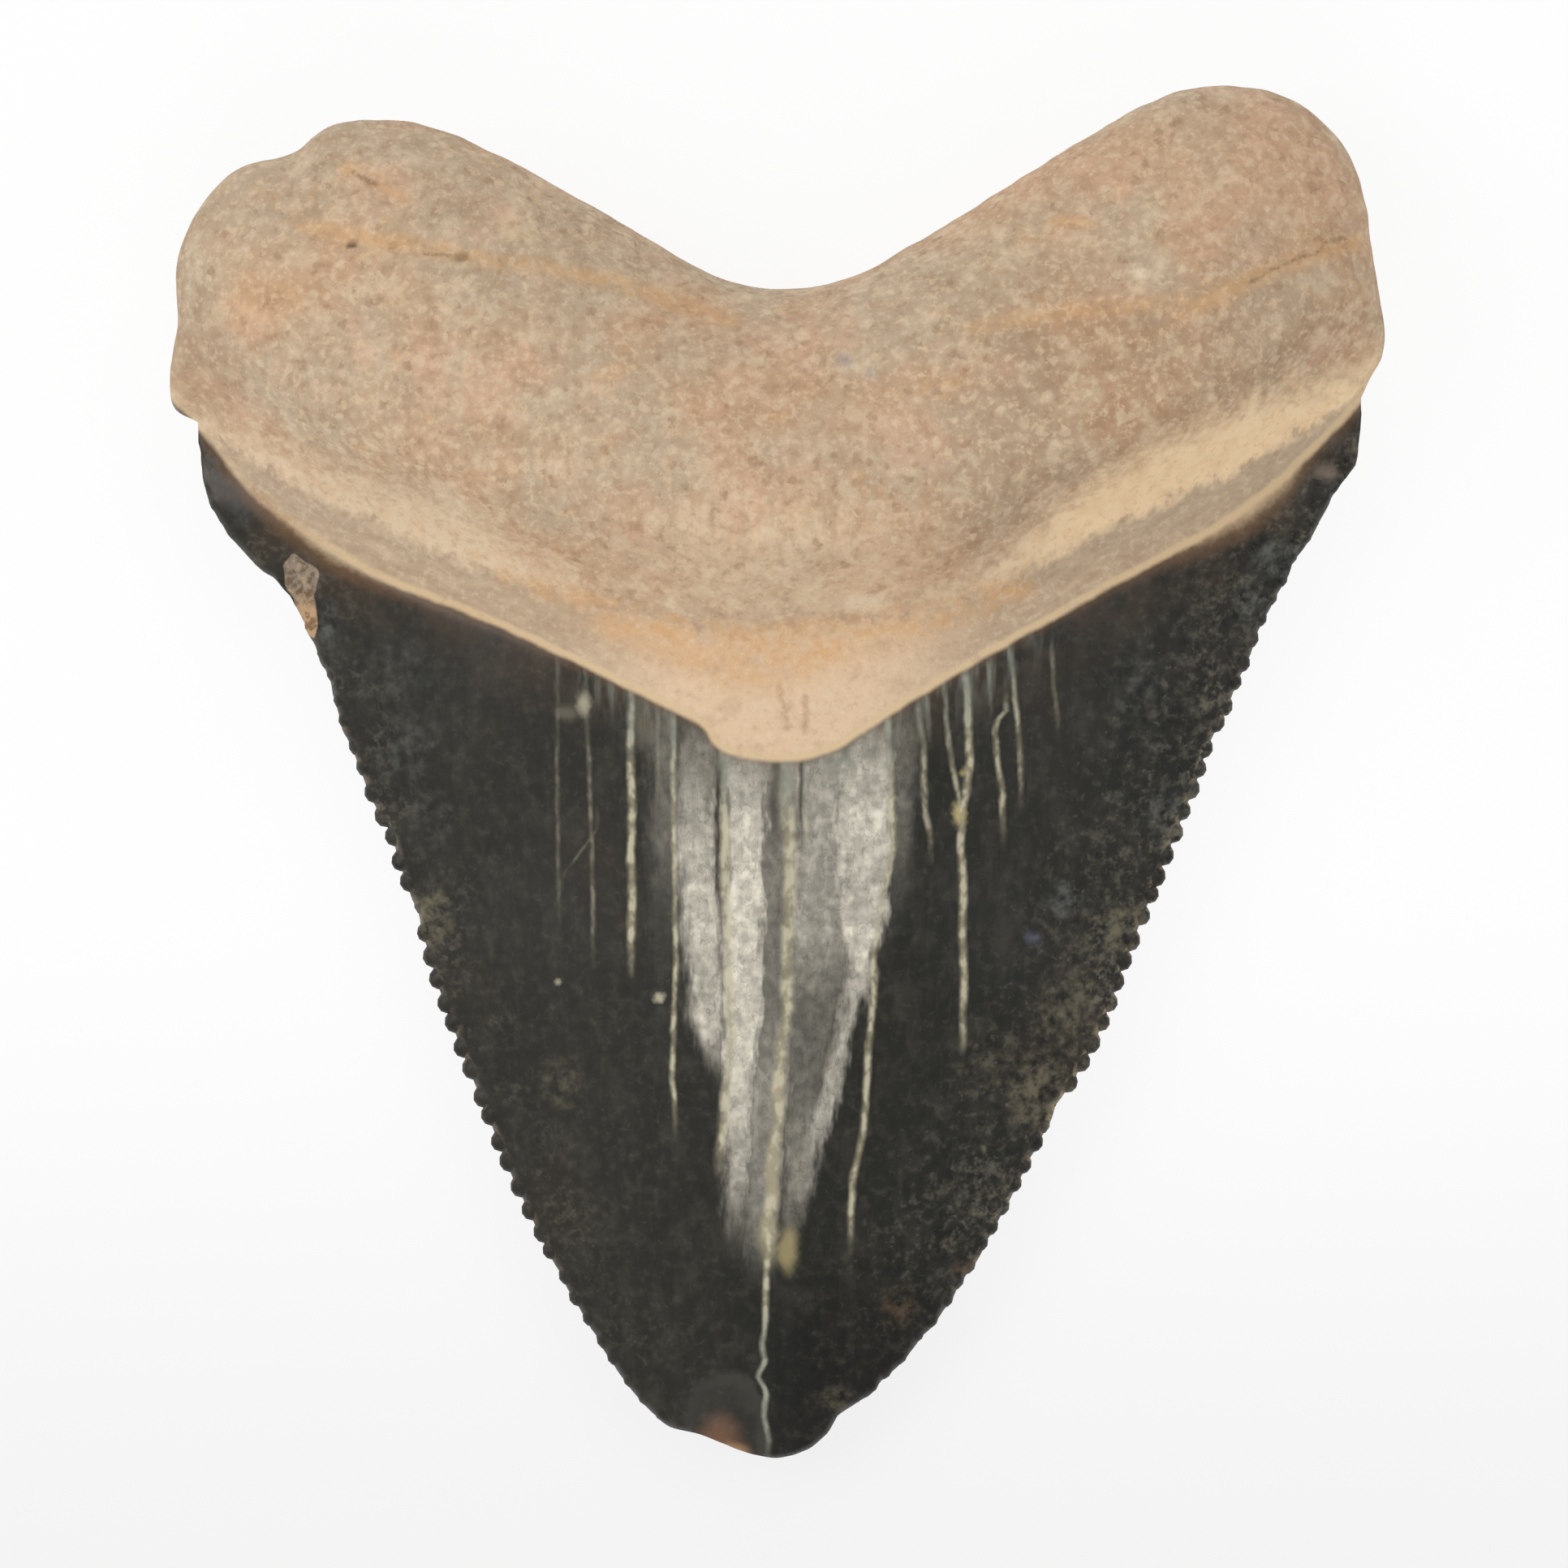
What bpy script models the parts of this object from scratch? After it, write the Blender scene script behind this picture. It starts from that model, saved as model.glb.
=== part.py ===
"""Fossil megalodon tooth, in metres, lying on its labial face.

The tip points to -Y and the root's two lobes to +Y. The lingual face looks up, with the
dental band between the root and the enamel. The origin is on the resting surface, under
the middle of the tooth's width and length. Root, band and enamelled crown grew as one
piece, so the tooth is one solid.
"""

import math
import random

import bmesh
import bpy
import numpy as np
from mathutils import Vector, geometry, noise

MM = 0.001

# Root: its height in the middle, how much it falls to its lobes and notch, and its rounded rim
ROOT_TOP = 11.3 * MM
ROOT_LOBE_DROP = 2.6 * MM
ROOT_HALF_WIDTH = 21.0 * MM
ROOT_BACK_DROP = 0.8 * MM
ROOT_BACK_START = 7.5 * MM
ROOT_BACK_REACH = 10.0 * MM
ROOT_RIM_HEIGHT = 4.5 * MM
ROOT_RIM_REACH = 7.0 * MM
ROOT_RIM_POWER = 2.1
ROOT_UNDER_REACH = 4.5 * MM
ROOT_UNDER_POWER = 2.3

# Crown: the rise of its lingual face, and its cutting edges from the tip up to the root
CROWN_RISE = 4.9 * MM
CROWN_RISE_WIDTH = 28.0 * MM
CROWN_RISE_POWER = 0.95
CROWN_FOOT = -24.0 * MM
CROWN_HEAD = 12.0 * MM
EDGE_HEIGHT_AT_TIP = 1.9 * MM
EDGE_HEIGHT_AT_ROOT = 3.2 * MM
EDGE_HEIGHT_POWER = 1.3
EDGE_HALF_THICKNESS = 0.2 * MM
EDGE_ROUNDING = 0.35 * MM
EDGE_POWER = 2.0

# Where the rim and the rounding change over from the crown to the root
RIM_CHANGE = (-0.6 * MM, 1.2 * MM)
ROUNDING_CHANGE = (0.0, 2.0 * MM)

# Dental band: a sloping shoulder, a shallow trough under it, then the enamel
SHOULDER_WIDTH = 3.4 * MM
TROUGH_DEPTH = 0.35 * MM
TROUGH_WIDTH = 0.7 * MM

# Labial face: one wide, slight swelling with a flat worn spot to rest on
REST_CENTRE = (0.0, 5.5 * MM)
REST_CURVE = (13.0 * MM, 16.0 * MM)
REST_CURVE_RISE = 0.5 * MM
REST_WEAR = 0.15 * MM
LABIAL_GROOVE = 0.15 * MM
LABIAL_GROOVE_PLACE = 0.4 * MM
LABIAL_GROOVE_WIDTH = 0.8 * MM
LABIAL_CHANGE = (-1.8 * MM, 3.0 * MM)
LABIAL_EDGE_POWER = 3

# Serrations, counted from the root's end of each cutting edge
BEAD_PITCH = 0.85 * MM
BEAD_DEPTH = 0.22 * MM
BEAD_MEAN = 0.6
BEAD_POWER = 0.6
BEAD_PITCH_SPREAD = (0.8, 1.2)
BEAD_SIZE_SPREAD = (0.7, 1.15)
BEAD_STRENGTH_AT_TIP = 0.5
BEAD_STEPS = (0.0, 0.22, 0.5, 0.78)
BEAD_FADE_IN = (1.5 * MM, 7.0 * MM)
BEAD_FADE_OUT = 1.6 * MM

# Spacing of the mesh, and how far its points stay clear of each other
RIM_STEP = 0.8 * MM
TIP_STEP = 0.5 * MM
RINGS = ((0.3 * MM, 0.6 * MM), (0.9 * MM, 0.9 * MM), (1.9 * MM, 1.05 * MM))
SHOULDER_ROWS = (-0.8 * MM, 0.0, 0.85 * MM, 1.7 * MM, 2.55 * MM, 3.4 * MM)
LATTICE_STEP = 1.0 * MM
LATTICE_ROW = LATTICE_STEP * math.sqrt(3.0) / 2.0
LATTICE_CLEARANCE = 0.6 * LATTICE_STEP
ROW_CLEARANCE = 0.55 * LATTICE_STEP
RING_CLEARANCE = 0.96
CURVE_STEP = 0.1 * MM
OUTWARD_REACH = 0.4 * MM
WELD = 0.0001 * MM
ON_RIM = 0.001 * MM
TINY = 1e-9
BLOCK = 2000

# Outline seen from above, in millimetres, clockwise from the left end of the enamel
ROOT_RIM = (
    (-20.35, 12.35), (-21.15, 12.85), (-21.35, 13.85), (-21.05, 15.6), (-21.05, 18.0),
    (-20.3, 19.8), (-19.1, 21.1), (-17.0, 21.8), (-15.6, 22.75), (-13.6, 22.95),
    (-11.8, 22.6), (-9.6, 21.6), (-5.9, 19.6), (-3.2, 18.0), (-1.5, 17.25),
    (0.4, 17.0), (2.4, 17.35), (5.2, 18.8), (9.6, 21.55), (12.3, 23.15),
    (14.1, 23.95), (16.1, 24.14), (18.0, 23.7), (19.7, 22.35), (20.6, 20.3),
    (20.95, 18.0), (21.35, 15.1), (20.75, 13.65), (20.55, 13.2),
)
RIGHT_EDGE = (
    (20.55, 13.2), (20.55, 12.0), (20.25, 10.8), (19.5, 9.6), (18.85, 8.3), (18.0, 6.9),
    (17.0, 4.9), (15.95, 2.3), (14.85, -0.4), (13.65, -3.45), (12.5, -6.35),
    (11.35, -9.4), (9.7, -12.3), (8.35, -14.9), (6.65, -17.9), (4.4, -20.8),
    (3.05, -22.05), (2.15, -22.65),
)
TIP = (
    (2.15, -22.65), (1.75, -23.3), (1.05, -23.85), (0.0, -24.14), (-1.05, -23.95),
    (-2.75, -23.3), (-3.75, -23.05), (-4.2, -22.75),
)
LEFT_EDGE = (
    (-4.2, -22.75), (-5.05, -21.9), (-6.95, -19.0), (-8.9, -15.4), (-10.5, -11.6),
    (-12.0, -7.6), (-13.1, -4.0), (-14.4, -0.8), (-15.25, 1.4), (-15.95, 3.6),
    (-16.65, 5.3), (-17.45, 6.6), (-18.6, 7.6), (-19.7, 9.0), (-20.3, 10.7), (-20.35, 12.35),
)
# Nicks in the cutting edges: the place along Y, half the length and the depth
RIGHT_NICKS = ((-12.4, 0.9, 0.25), (1.0, 1.2, 0.1))
LEFT_NICKS = ((-5.3, 0.5, 0.2), (-2.2, 0.8, 0.2), (3.3, 0.5, 0.1))

# The shoulder's foot and the enamel's upper limit, lingual and labial, in millimetres
SHOULDER_LINE = (
    (-22.0, 13.2), (-20.3, 12.0), (-17.5, 10.3), (-14.0, 8.7), (-9.9, 6.9), (-5.3, 5.7), (-1.2, 4.9),
    (2.9, 5.4), (6.9, 6.2), (11.0, 8.2), (15.3, 10.1), (20.6, 13.3), (22.0, 14.4),
)
ENAMEL_LINE = (
    (-22.0, 14.0), (-20.3, 12.1), (-18.3, 9.7), (-14.5, 7.1), (-9.9, 5.2), (-5.3, 3.0), (-2.7, 1.65),
    (-1.9, 0.8), (0.0, 0.4), (2.0, 0.8), (3.0, 1.4), (6.0, 3.3), (11.5, 6.4), (16.5, 9.2),
    (20.6, 13.1), (22.0, 15.0),
)
LABIAL_LINE = (
    (-22.0, 13.0), (-20.3, 12.1), (-14.0, 10.2), (-6.0, 7.6), (0.0, 6.8), (6.0, 7.9), (14.0, 10.9),
    (20.6, 13.1), (22.0, 14.0),
)
# Flakes lost from the lingual face: centre, radii and depth, in millimetres
FLAKES = (
    ((-1.75, -23.4), (1.55, 2.5), 0.5),
    ((-16.8, 6.9), (0.75, 1.1), 0.35),
    ((19.4, 10.6), (0.8, 0.7), 0.25),
    ((17.8, 7.7), (0.8, 0.8), 0.25),
)
FLAKE_SOFTNESS = 0.6
# Low swells of the root's surface
SWELL_LENGTH = 6.5 * MM
SWELL_HEIGHT = 0.22 * MM

# Plain colours and roughness of the two finishes
ROOT_FINISH = ((0.47, 0.33, 0.23), 0.85)
ENAMEL_FINISH = ((0.04, 0.038, 0.033), 0.35)
SHARP_ANGLE = math.radians(50.0)

SEED = 11


def clear_scene():
    for found in list(bpy.data.objects):
        bpy.data.objects.remove(found, do_unlink=True)


def smoothstep(low, high, value):
    share = np.clip((value - low) / (high - low), 0.0, 1.0)
    return share * share * (3.0 - 2.0 * share)


def smooth_curve(points):
    """Centripetal Catmull-Rom curve through points given in millimetres."""
    p = np.array(points, float) * MM
    p = np.vstack([2.0 * p[0] - p[1], p, 2.0 * p[-1] - p[-2]])
    pieces = []
    for a, b, c, d in zip(p[:-3], p[1:-2], p[2:-1], p[3:]):
        t0 = 0.0
        t1 = t0 + math.sqrt(math.dist(a, b))
        t2 = t1 + math.sqrt(math.dist(b, c))
        t3 = t2 + math.sqrt(math.dist(c, d))
        count = max(2, round(math.dist(b, c) / CURVE_STEP))
        t = np.linspace(t1, t2, count, endpoint=False)[:, None]
        ab = (t1 - t) / (t1 - t0) * a + (t - t0) / (t1 - t0) * b
        bc = (t2 - t) / (t2 - t1) * b + (t - t1) / (t2 - t1) * c
        cd = (t3 - t) / (t3 - t2) * c + (t - t2) / (t3 - t2) * d
        abc = (t2 - t) / (t2 - t0) * ab + (t - t0) / (t2 - t0) * bc
        bcd = (t3 - t) / (t3 - t1) * bc + (t - t1) / (t3 - t1) * cd
        pieces.append((t2 - t) / (t2 - t1) * abc + (t - t1) / (t2 - t1) * bcd)
    pieces.append(p[-2:-1])
    return np.vstack(pieces)


def run_along(line):
    return np.concatenate([[0.0], np.cumsum(np.linalg.norm(np.diff(line, axis=0), axis=1))])


def points_at(line, runs):
    along = run_along(line)
    return np.column_stack([np.interp(runs, along, line[:, k]) for k in (0, 1)])


def outward_at(line, runs):
    """Unit vectors to the left of a clockwise line, which is away from the tooth."""
    along = points_at(line, runs + OUTWARD_REACH) - points_at(line, runs - OUTWARD_REACH)
    along /= np.linalg.norm(along, axis=1)[:, None]
    return np.column_stack([-along[:, 1], along[:, 0]])


def evenly(line, step):
    """Points about step apart along the line, without its last one."""
    length = run_along(line)[-1]
    count = max(2, round(length / step))
    return points_at(line, np.linspace(0.0, length, count, endpoint=False))


def serrated(line, from_root, nicks, seed):
    """A cutting edge with its row of rounded beads, between sharp valleys."""
    draw = random.Random(seed)
    length = run_along(line)[-1]
    marks = [0.0]
    while marks[-1] < length - BEAD_PITCH:
        marks.append(marks[-1] + BEAD_PITCH * draw.uniform(*BEAD_PITCH_SPREAD))
    marks = np.array(marks) * length / marks[-1]
    runs = []
    rises = []
    for start, end in zip(marks[:-1], marks[1:]):
        size = draw.uniform(*BEAD_SIZE_SPREAD)
        for step in BEAD_STEPS:
            runs.append(start + step * (end - start))
            rises.append(size * math.sin(math.pi * step) ** BEAD_POWER - BEAD_MEAN)
    runs = np.array(runs)
    from_shoulder = runs if from_root else length - runs
    strength = smoothstep(BEAD_FADE_IN[0], BEAD_FADE_IN[1], from_shoulder)
    from_tip = smoothstep(0.0, BEAD_FADE_OUT, length - from_shoulder)
    strength *= BEAD_STRENGTH_AT_TIP + (1.0 - BEAD_STRENGTH_AT_TIP) * from_tip
    rise = BEAD_DEPTH * strength * np.array(rises)
    points = points_at(line, runs)
    for place, half, depth in nicks:
        share = np.clip(1.0 - np.abs(points[:, 1] / MM - place) / half, 0.0, 1.0)
        rise -= depth * MM * np.sqrt(share)
    return points + outward_at(line, runs) * rise[:, None]


def height_over(points, line):
    """How far the points lie on the root's side of a line across the tooth."""
    x, y = points.T
    above = np.sign(y - np.interp(x, line[:, 0], line[:, 1]))
    return above * distance(points, line)


def distance(points, line):
    """Distance of each point from the nearest piece of the line."""
    start = line[:-1]
    piece = line[1:] - start
    squares = np.maximum((piece**2).sum(1), TINY**2)
    nearest = np.empty(len(points))
    for at in range(0, len(points), BLOCK):
        away = points[at : at + BLOCK, None, :] - start[None]
        share = np.clip((away * piece).sum(2) / squares, 0.0, 1.0)
        gap = away - share[..., None] * piece
        nearest[at : at + BLOCK] = np.sqrt((gap**2).sum(2).min(1))
    return nearest


def inside(points, loop):
    """Whether each point lies within the closed loop."""
    x, y = points.T
    found = np.zeros(len(points), bool)
    for (x0, y0), (x1, y1) in zip(loop, np.roll(loop, -1, axis=0)):
        if y0 == y1:
            continue
        crosses = (y0 > y) != (y1 > y)
        found ^= crosses & (x < x0 + (y - y0) * (x1 - x0) / (y1 - y0))
    return found


def rounding(depth_in, reach, power):
    """0 at the rim, rising like a quarter of a rounded section to 1 at its reach."""
    share = np.clip(depth_in / reach, 0.0, 1.0)
    return (1.0 - (1.0 - share) ** power) ** (1.0 / power)


def scooped(points, centre, radii, depth):
    """How much a flake takes off at each point."""
    away = (points / MM - np.array(centre)) / np.array(radii)
    return depth * MM * smoothstep(0.0, FLAKE_SOFTNESS, 1.0 - np.hypot(away[:, 0], away[:, 1]))


def swells(points):
    """Rise of the root's low swells at each point."""
    found = [noise.noise(Vector((x, y, 0.0)) / SWELL_LENGTH) for x, y in points]
    return SWELL_HEIGHT * np.array(found)


class Tooth:
    """The smooth outline and the lines on the tooth that its two faces are shaped from."""

    def __init__(self):
        rim = smooth_curve(ROOT_RIM)
        right = smooth_curve(RIGHT_EDGE)
        tip = smooth_curve(TIP)
        left = smooth_curve(LEFT_EDGE)
        lowest = int(np.argmin(tip[:, 1]))
        self.right_side = np.vstack([right, tip[: lowest + 1]])
        self.left_side = np.vstack([tip[lowest:], left])
        self.smooth = np.vstack([rim[:-1], right[:-1], tip[:-1], left])
        self.outline = np.vstack(
            [
                evenly(rim, RIM_STEP),
                serrated(right, True, RIGHT_NICKS, SEED),
                evenly(tip, TIP_STEP),
                serrated(left, False, LEFT_NICKS, SEED + 1),
            ]
        )
        self.closed = np.vstack([self.outline, self.outline[:1]])
        self.shoulder = smooth_curve(SHOULDER_LINE)
        self.enamel = smooth_curve(ENAMEL_LINE)
        self.labial = smooth_curve(LABIAL_LINE)

    def edge_height(self, points):
        """Height of the cutting edges, rising from the tip to the root."""
        share = np.clip((points[:, 1] - CROWN_FOOT) / (CROWN_HEAD - CROWN_FOOT), 0.0, 1.0)
        rise = (EDGE_HEIGHT_AT_ROOT - EDGE_HEIGHT_AT_TIP) * share**EDGE_HEIGHT_POWER
        return EDGE_HEIGHT_AT_TIP + rise

    def rim_height(self, points):
        """Height of the line where the two faces meet."""
        rooted = smoothstep(*RIM_CHANGE, height_over(points, self.enamel))
        edge = self.edge_height(points)
        return edge + (ROOT_RIM_HEIGHT - edge) * rooted

    def crown_rise(self, points):
        """A lens across the crown: nothing at its edges, most in the middle."""
        left = distance(points, self.left_side)
        right = distance(points, self.right_side)
        width = np.maximum(left + right, TINY)
        fullest = CROWN_RISE * (width / CROWN_RISE_WIDTH) ** CROWN_RISE_POWER
        return fullest * left * right / (width / 2.0) ** 2

    def upper(self, points):
        """Height of the lingual face."""
        over_enamel = height_over(points, self.enamel)
        over_shoulder = height_over(points, self.shoulder)
        depth_in = distance(points, self.closed)
        rim = self.rim_height(points)
        crown = self.edge_height(points) + np.hypot(self.crown_rise(points), EDGE_HALF_THICKNESS)
        crown -= TROUGH_DEPTH * np.exp(-(((over_shoulder + TROUGH_WIDTH) / TROUGH_WIDTH) ** 2))
        behind = np.maximum(points[:, 1] - ROOT_BACK_START, 0.0) / ROOT_BACK_REACH
        root = ROOT_TOP - ROOT_LOBE_DROP * (points[:, 0] / ROOT_HALF_WIDTH) ** 2
        root += swells(points) - ROOT_BACK_DROP * behind**2
        rooted = smoothstep(0.0, SHOULDER_WIDTH, over_shoulder)
        face = crown + (root - crown) * rooted
        rounded = smoothstep(*ROUNDING_CHANGE, over_enamel)
        reach = EDGE_ROUNDING + (ROOT_RIM_REACH - EDGE_ROUNDING) * rounded
        face = rim + (face - rim) * rounding(depth_in, reach, ROOT_RIM_POWER)
        for flake in FLAKES:
            face -= scooped(points, *flake) * rounding(depth_in, EDGE_ROUNDING, EDGE_POWER)
        return np.maximum(face, rim)

    def lower(self, points):
        """Height of the labial face, worn flat where it rests."""
        away = (points - np.array(REST_CENTRE)) / np.array(REST_CURVE)
        bowl = REST_CURVE_RISE * (away**2).sum(1)
        over_labial = height_over(points, self.labial)
        groove = np.exp(-(((over_labial - LABIAL_GROOVE_PLACE) / LABIAL_GROOVE_WIDTH) ** 2))
        depth_in = distance(points, self.closed)
        rim = self.rim_height(points)
        left = distance(points, self.left_side)
        right = distance(points, self.right_side)
        across = np.abs(left - right) / np.maximum(left + right, TINY)
        closing = rounding(depth_in, EDGE_ROUNDING, EDGE_POWER)
        crown = bowl + (rim - bowl) * across**LABIAL_EDGE_POWER - EDGE_HALF_THICKNESS * closing
        root = rim - (rim - bowl) * rounding(depth_in, ROOT_UNDER_REACH, ROOT_UNDER_POWER)
        rooted = smoothstep(*LABIAL_CHANGE, over_labial)
        face = crown + (root - crown) * rooted + LABIAL_GROOVE * groove - REST_WEAR
        return rim + (np.maximum(face, 0.0) - rim) * closing


def shoulder_rows(tooth):
    """Rows of points along the sloping shoulder, so that its foot and brow run evenly."""
    line = tooth.shoulder
    runs = np.arange(0.0, run_along(line)[-1], LATTICE_STEP)
    rows = [points_at(line, runs) + outward_at(line, runs) * up for up in SHOULDER_ROWS]
    return np.vstack(rows)


def lattice(tooth):
    """Triangular lattice over the tooth's box, left out where the shoulder has its rows."""
    low = tooth.smooth.min(0)
    high = tooth.smooth.max(0)
    rows = []
    for number, y in enumerate(np.arange(low[1], high[1], LATTICE_ROW)):
        x = np.arange(low[0] + (number % 2) * LATTICE_STEP / 2.0, high[0], LATTICE_STEP)
        rows.append(np.column_stack([x, np.full(len(x), y)]))
    points = np.vstack(rows)
    over = height_over(points, tooth.shoulder)
    under = over < SHOULDER_ROWS[0] - ROW_CLEARANCE
    return points[under | (over > SHOULDER_ROWS[-1] + ROW_CLEARANCE)]


def sheet_points(tooth):
    """Points that fill the outline: rings along the rim, then the rest clear of them."""
    closed = np.vstack([tooth.smooth, tooth.smooth[:1]])
    rings = []
    for inset, step in RINGS:
        runs = np.arange(0.0, run_along(tooth.smooth)[-1], step)
        ring = points_at(tooth.smooth, runs) - outward_at(tooth.smooth, runs) * inset
        rings.append(ring[distance(ring, closed) > RING_CLEARANCE * inset])
    middle = np.vstack([shoulder_rows(tooth), lattice(tooth)])
    middle = middle[inside(middle, tooth.smooth)]
    clear = RINGS[-1][0] + LATTICE_CLEARANCE
    return np.vstack([*rings, middle[distance(middle, closed) > clear]])


def flat_sheet(tooth):
    """The outline filled with triangles, as points and faces in the plane."""
    rim = tooth.outline[::-1]
    corners = [Vector(point) for point in np.vstack([rim, sheet_points(tooth)])]
    loop = list(range(len(rim)))
    filled = geometry.delaunay_2d_cdt(corners, [], [loop], 1, WELD)
    return np.array([tuple(corner) for corner in filled[0]]), filled[2]


def tooth_mesh(tooth):
    """Two copies of the sheet, lifted to the upper and lower faces and welded at the rim."""
    points, faces = flat_sheet(tooth)
    on_rim = distance(points, tooth.closed) < ON_RIM
    rim = tooth.rim_height(points)
    shape = bmesh.new()
    for heights, turned in ((tooth.upper(points), False), (tooth.lower(points), True)):
        heights = np.where(on_rim, rim, heights)
        corners = [shape.verts.new((x, y, z)) for (x, y), z in zip(points, heights)]
        for face in faces:
            order = reversed(face) if turned else face
            shape.faces.new([corners[k] for k in order])
    bmesh.ops.remove_doubles(shape, verts=shape.verts, dist=WELD)
    bmesh.ops.recalc_face_normals(shape, faces=shape.faces)
    mesh = bpy.data.meshes.new("tooth")
    shape.to_mesh(mesh)
    shape.free()
    return mesh


def surface(name, colour, roughness):
    """A Principled material with one plain colour."""
    material = bpy.data.materials.new(name)
    material.use_nodes = True
    shader = material.node_tree.nodes["Principled BSDF"]
    shader.inputs["Base Color"].default_value = (*colour, 1.0)
    shader.inputs["Roughness"].default_value = roughness
    shader.inputs["Metallic"].default_value = 0.0
    material.diffuse_color = (*colour, 1.0)
    return material


def colour_faces(mesh, tooth):
    """Enamel below its limit on each face, root above it."""
    mesh.materials.append(surface("root", *ROOT_FINISH))
    mesh.materials.append(surface("enamel", *ENAMEL_FINISH))
    centres = np.array([polygon.center[:2] for polygon in mesh.polygons])
    lingual = height_over(centres, tooth.enamel) < 0.0
    labial = height_over(centres, tooth.labial) < 0.0
    for polygon, up_side, down_side in zip(mesh.polygons, lingual, labial):
        enamelled = up_side if polygon.normal.z > 0.0 else down_side
        polygon.material_index = int(enamelled)


def main():
    clear_scene()
    tooth = Tooth()
    mesh = tooth_mesh(tooth)
    colour_faces(mesh, tooth)
    mesh.shade_smooth()
    mesh.set_sharp_from_angle(angle=SHARP_ANGLE)
    collection = bpy.data.collections.new("fossil_megalodon_tooth")
    bpy.context.scene.collection.children.link(collection)
    collection.objects.link(bpy.data.objects.new("tooth", mesh))


main()
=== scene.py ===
"""Looks of the fossil tooth: its finished surface, its serrations and the studio around it.

The tooth lies on its labial face with the tip towards -Y. Lengths are in metres, except
where a name or a comment says millimetres. The two faces follow the same outline, lines
and thicknesses as the solid, with the fine relief, the beads and the markings added.
"""

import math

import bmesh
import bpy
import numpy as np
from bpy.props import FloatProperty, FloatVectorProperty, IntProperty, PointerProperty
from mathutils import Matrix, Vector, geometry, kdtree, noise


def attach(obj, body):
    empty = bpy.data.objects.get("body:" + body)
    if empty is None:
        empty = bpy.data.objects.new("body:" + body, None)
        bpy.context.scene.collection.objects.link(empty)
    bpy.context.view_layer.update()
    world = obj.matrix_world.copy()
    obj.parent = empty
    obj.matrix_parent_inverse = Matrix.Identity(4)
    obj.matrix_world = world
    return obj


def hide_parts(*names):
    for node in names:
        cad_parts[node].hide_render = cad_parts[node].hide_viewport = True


bl_info = {
    "name": "Fossil tooth",
    "version": (1, 0, 0),
    "blender": (4, 5, 0),
    "location": "3D View > Sidebar > Tooth",
    "description": "Makes the fossil tooth's surface, its serrations and a plain studio",
    "category": "Object",
}

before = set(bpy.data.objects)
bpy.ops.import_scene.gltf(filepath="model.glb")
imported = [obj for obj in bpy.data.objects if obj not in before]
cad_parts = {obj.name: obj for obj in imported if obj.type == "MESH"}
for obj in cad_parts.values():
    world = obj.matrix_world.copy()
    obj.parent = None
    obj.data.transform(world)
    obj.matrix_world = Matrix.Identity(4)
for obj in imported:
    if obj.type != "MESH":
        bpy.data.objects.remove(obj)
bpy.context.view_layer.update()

MM = 0.001
PIECE = "fossil_tooth"
MATERIAL = "fossil_tooth_surface"

# Outline seen from above, in millimetres, clockwise from the left end of the enamel
ROOT_RIM = (
    (-20.35, 12.35), (-21.15, 12.85), (-21.35, 13.85), (-21.05, 15.6), (-21.05, 18.0),
    (-20.3, 19.8), (-19.1, 21.1), (-17.0, 21.8), (-15.6, 22.75), (-13.6, 22.95),
    (-11.8, 22.6), (-9.6, 21.6), (-5.9, 19.6), (-3.2, 18.0), (-1.5, 17.25),
    (0.4, 17.0), (2.4, 17.35), (5.2, 18.8), (9.6, 21.55), (12.3, 23.15),
    (14.1, 23.95), (16.1, 24.14), (18.0, 23.7), (19.7, 22.35), (20.6, 20.3),
    (20.95, 18.0), (21.35, 15.1), (20.75, 13.65), (20.55, 13.2),
)
RIGHT_EDGE = (
    (20.55, 13.2), (20.55, 12.0), (20.25, 10.8), (19.5, 9.6), (18.85, 8.3), (18.0, 6.9),
    (17.0, 4.9), (15.95, 2.3), (14.85, -0.4), (13.65, -3.45), (12.5, -6.35),
    (11.35, -9.4), (9.7, -12.3), (8.35, -14.9), (6.65, -17.9), (4.4, -20.8),
    (3.05, -22.05), (2.15, -22.65),
)
TIP = (
    (2.15, -22.65), (1.75, -23.3), (1.05, -23.85), (0.0, -24.14), (-1.05, -23.95),
    (-2.75, -23.3), (-3.75, -23.05), (-4.2, -22.75),
)
LEFT_EDGE = (
    (-4.2, -22.75), (-5.05, -21.9), (-6.95, -19.0), (-8.9, -15.4), (-10.5, -11.6),
    (-12.0, -7.6), (-13.1, -4.0), (-14.4, -0.8), (-15.25, 1.4), (-15.95, 3.6),
    (-16.65, 5.3), (-17.45, 6.6), (-18.6, 7.6), (-19.7, 9.0), (-20.3, 10.7), (-20.35, 12.35),
)
# Nicks in the cutting edges: the place along Y, half the length and the depth
RIGHT_NICKS = ((-11.8, 0.7, 0.16), (1.0, 1.2, 0.1))
LEFT_NICKS = ((-4.9, 0.6, 0.12), (-2.2, 0.8, 0.12), (3.3, 0.5, 0.1))
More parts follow.
